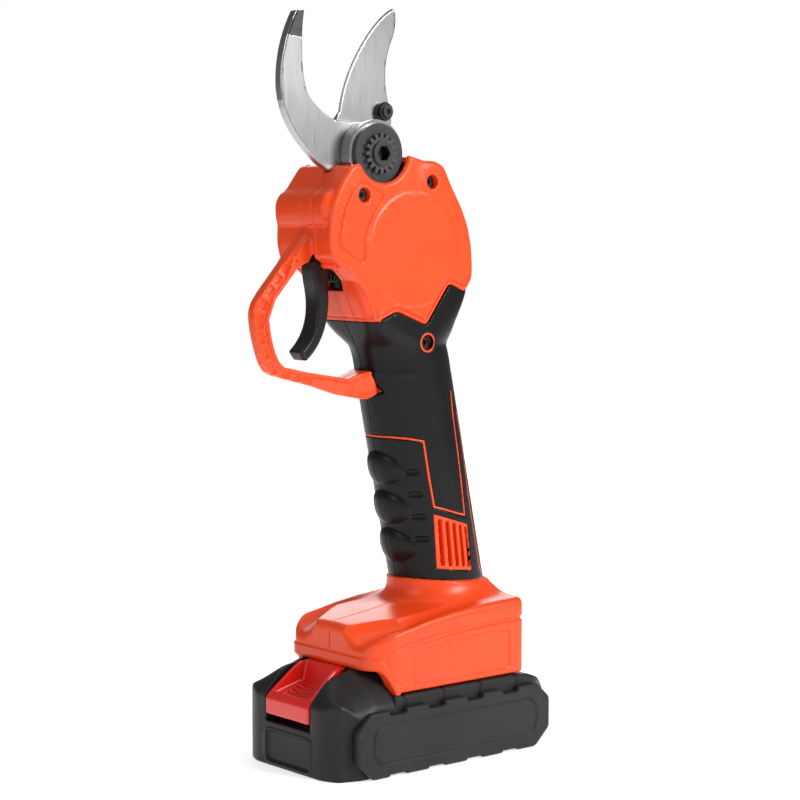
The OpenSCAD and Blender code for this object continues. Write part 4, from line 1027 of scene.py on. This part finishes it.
# Its slot in the record is black_metal; it is painted after the others with a lighter copy of that, painted light
# that sets its teeth off against the disc in place of the shadow in their gaps
paint(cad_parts["spline_washer"], SPLINE_LIT_COPY)


# ---- Floor, lights and camera ----

def floor_piece():
    mesh = bpy.data.meshes.new("floor")
    size = 0.9
    mesh.from_pydata([(-size, -size, 0), (size, -size, 0), (size, size, 0), (-size, size, 0)], [],
                     [(0, 1, 2, 3)])
    floor = bpy.data.objects.new("floor", mesh)
    bpy.context.scene.collection.objects.link(floor)
    material, nodes, links, bsdf = shader("floor_paper")
    mottle = noise(nodes, links, 3.0, 3.0)
    tone = spread(nodes, links, mottle, [(0.3, (0.90, 0.90, 0.90)), (0.7, (0.93, 0.93, 0.93))])
    links.new(tone, bsdf.inputs["Base Color"])
    links.new(tone, bsdf.inputs["Emission Color"])
    bsdf.inputs["Emission Strength"].default_value = 0.6
    bsdf.inputs["Roughness"].default_value = 0.85
    bsdf.inputs["Specular IOR Level"].default_value = 0.1
    paint(floor, material)


def area_light(name, place, target, size, power):
    data = bpy.data.lights.new(name, "AREA")
    data.shape = "RECTANGLE"
    data.size = size
    data.size_y = size
    data.energy = power
    lamp = bpy.data.objects.new(name, data)
    lamp.location = place
    lamp.rotation_mode = "QUATERNION"
    lamp.rotation_quaternion = (Vector(target) - Vector(place)).to_track_quat("-Z", "Y")
    bpy.context.scene.collection.objects.link(lamp)


floor_piece()
middle = (-0.01, 0.0, 0.17)
area_light("key", (0.45, -1.15, 0.75), middle, 0.55, 15.0)
area_light("front_fill", (-1.2, -0.35, 0.5), middle, 0.5, 2.2)
area_light("top", (-0.1, 0.1, 1.4), middle, 1.0, 5.0)
area_light("rim", (0.7, 0.9, 0.6), middle, 0.6, 4.0)

world = bpy.data.worlds.new("studio")
world.use_nodes = True
sky = world.node_tree
glow = sky.nodes["Background"]
glow.inputs["Color"].default_value = (1.0, 1.0, 1.0, 1)
glow.inputs["Strength"].default_value = 0.18
backdrop = sky.nodes.new("ShaderNodeBackground")
backdrop.inputs["Color"].default_value = (1.0, 1.0, 1.0, 1)
backdrop.inputs["Strength"].default_value = 1.0
blend = sky.nodes.new("ShaderNodeMixShader")
sky.links.new(sky.nodes.new("ShaderNodeLightPath").outputs["Is Camera Ray"], blend.inputs[0])
sky.links.new(glow.outputs[0], blend.inputs[1])
sky.links.new(backdrop.outputs[0], blend.inputs[2])
sky.links.new(blend.outputs[0], sky.nodes["World Output"].inputs["Surface"])
bpy.context.scene.world = world
bpy.context.scene.view_settings.view_transform = "Standard"

camera_data = bpy.data.cameras.new("camera")
camera_data.lens = 99.23
camera_data.sensor_width = 36.0
camera_data.clip_start = 0.05
camera_data.clip_end = 60.0
camera = bpy.data.objects.new("camera", camera_data)
camera.location = (-0.63181, -0.75147, 0.24451)
camera.rotation_euler = (math.radians(90 - 5.03), 0.0, math.radians(50.0 - 90.0))
bpy.context.scene.collection.objects.link(camera)
bpy.context.scene.camera = camera
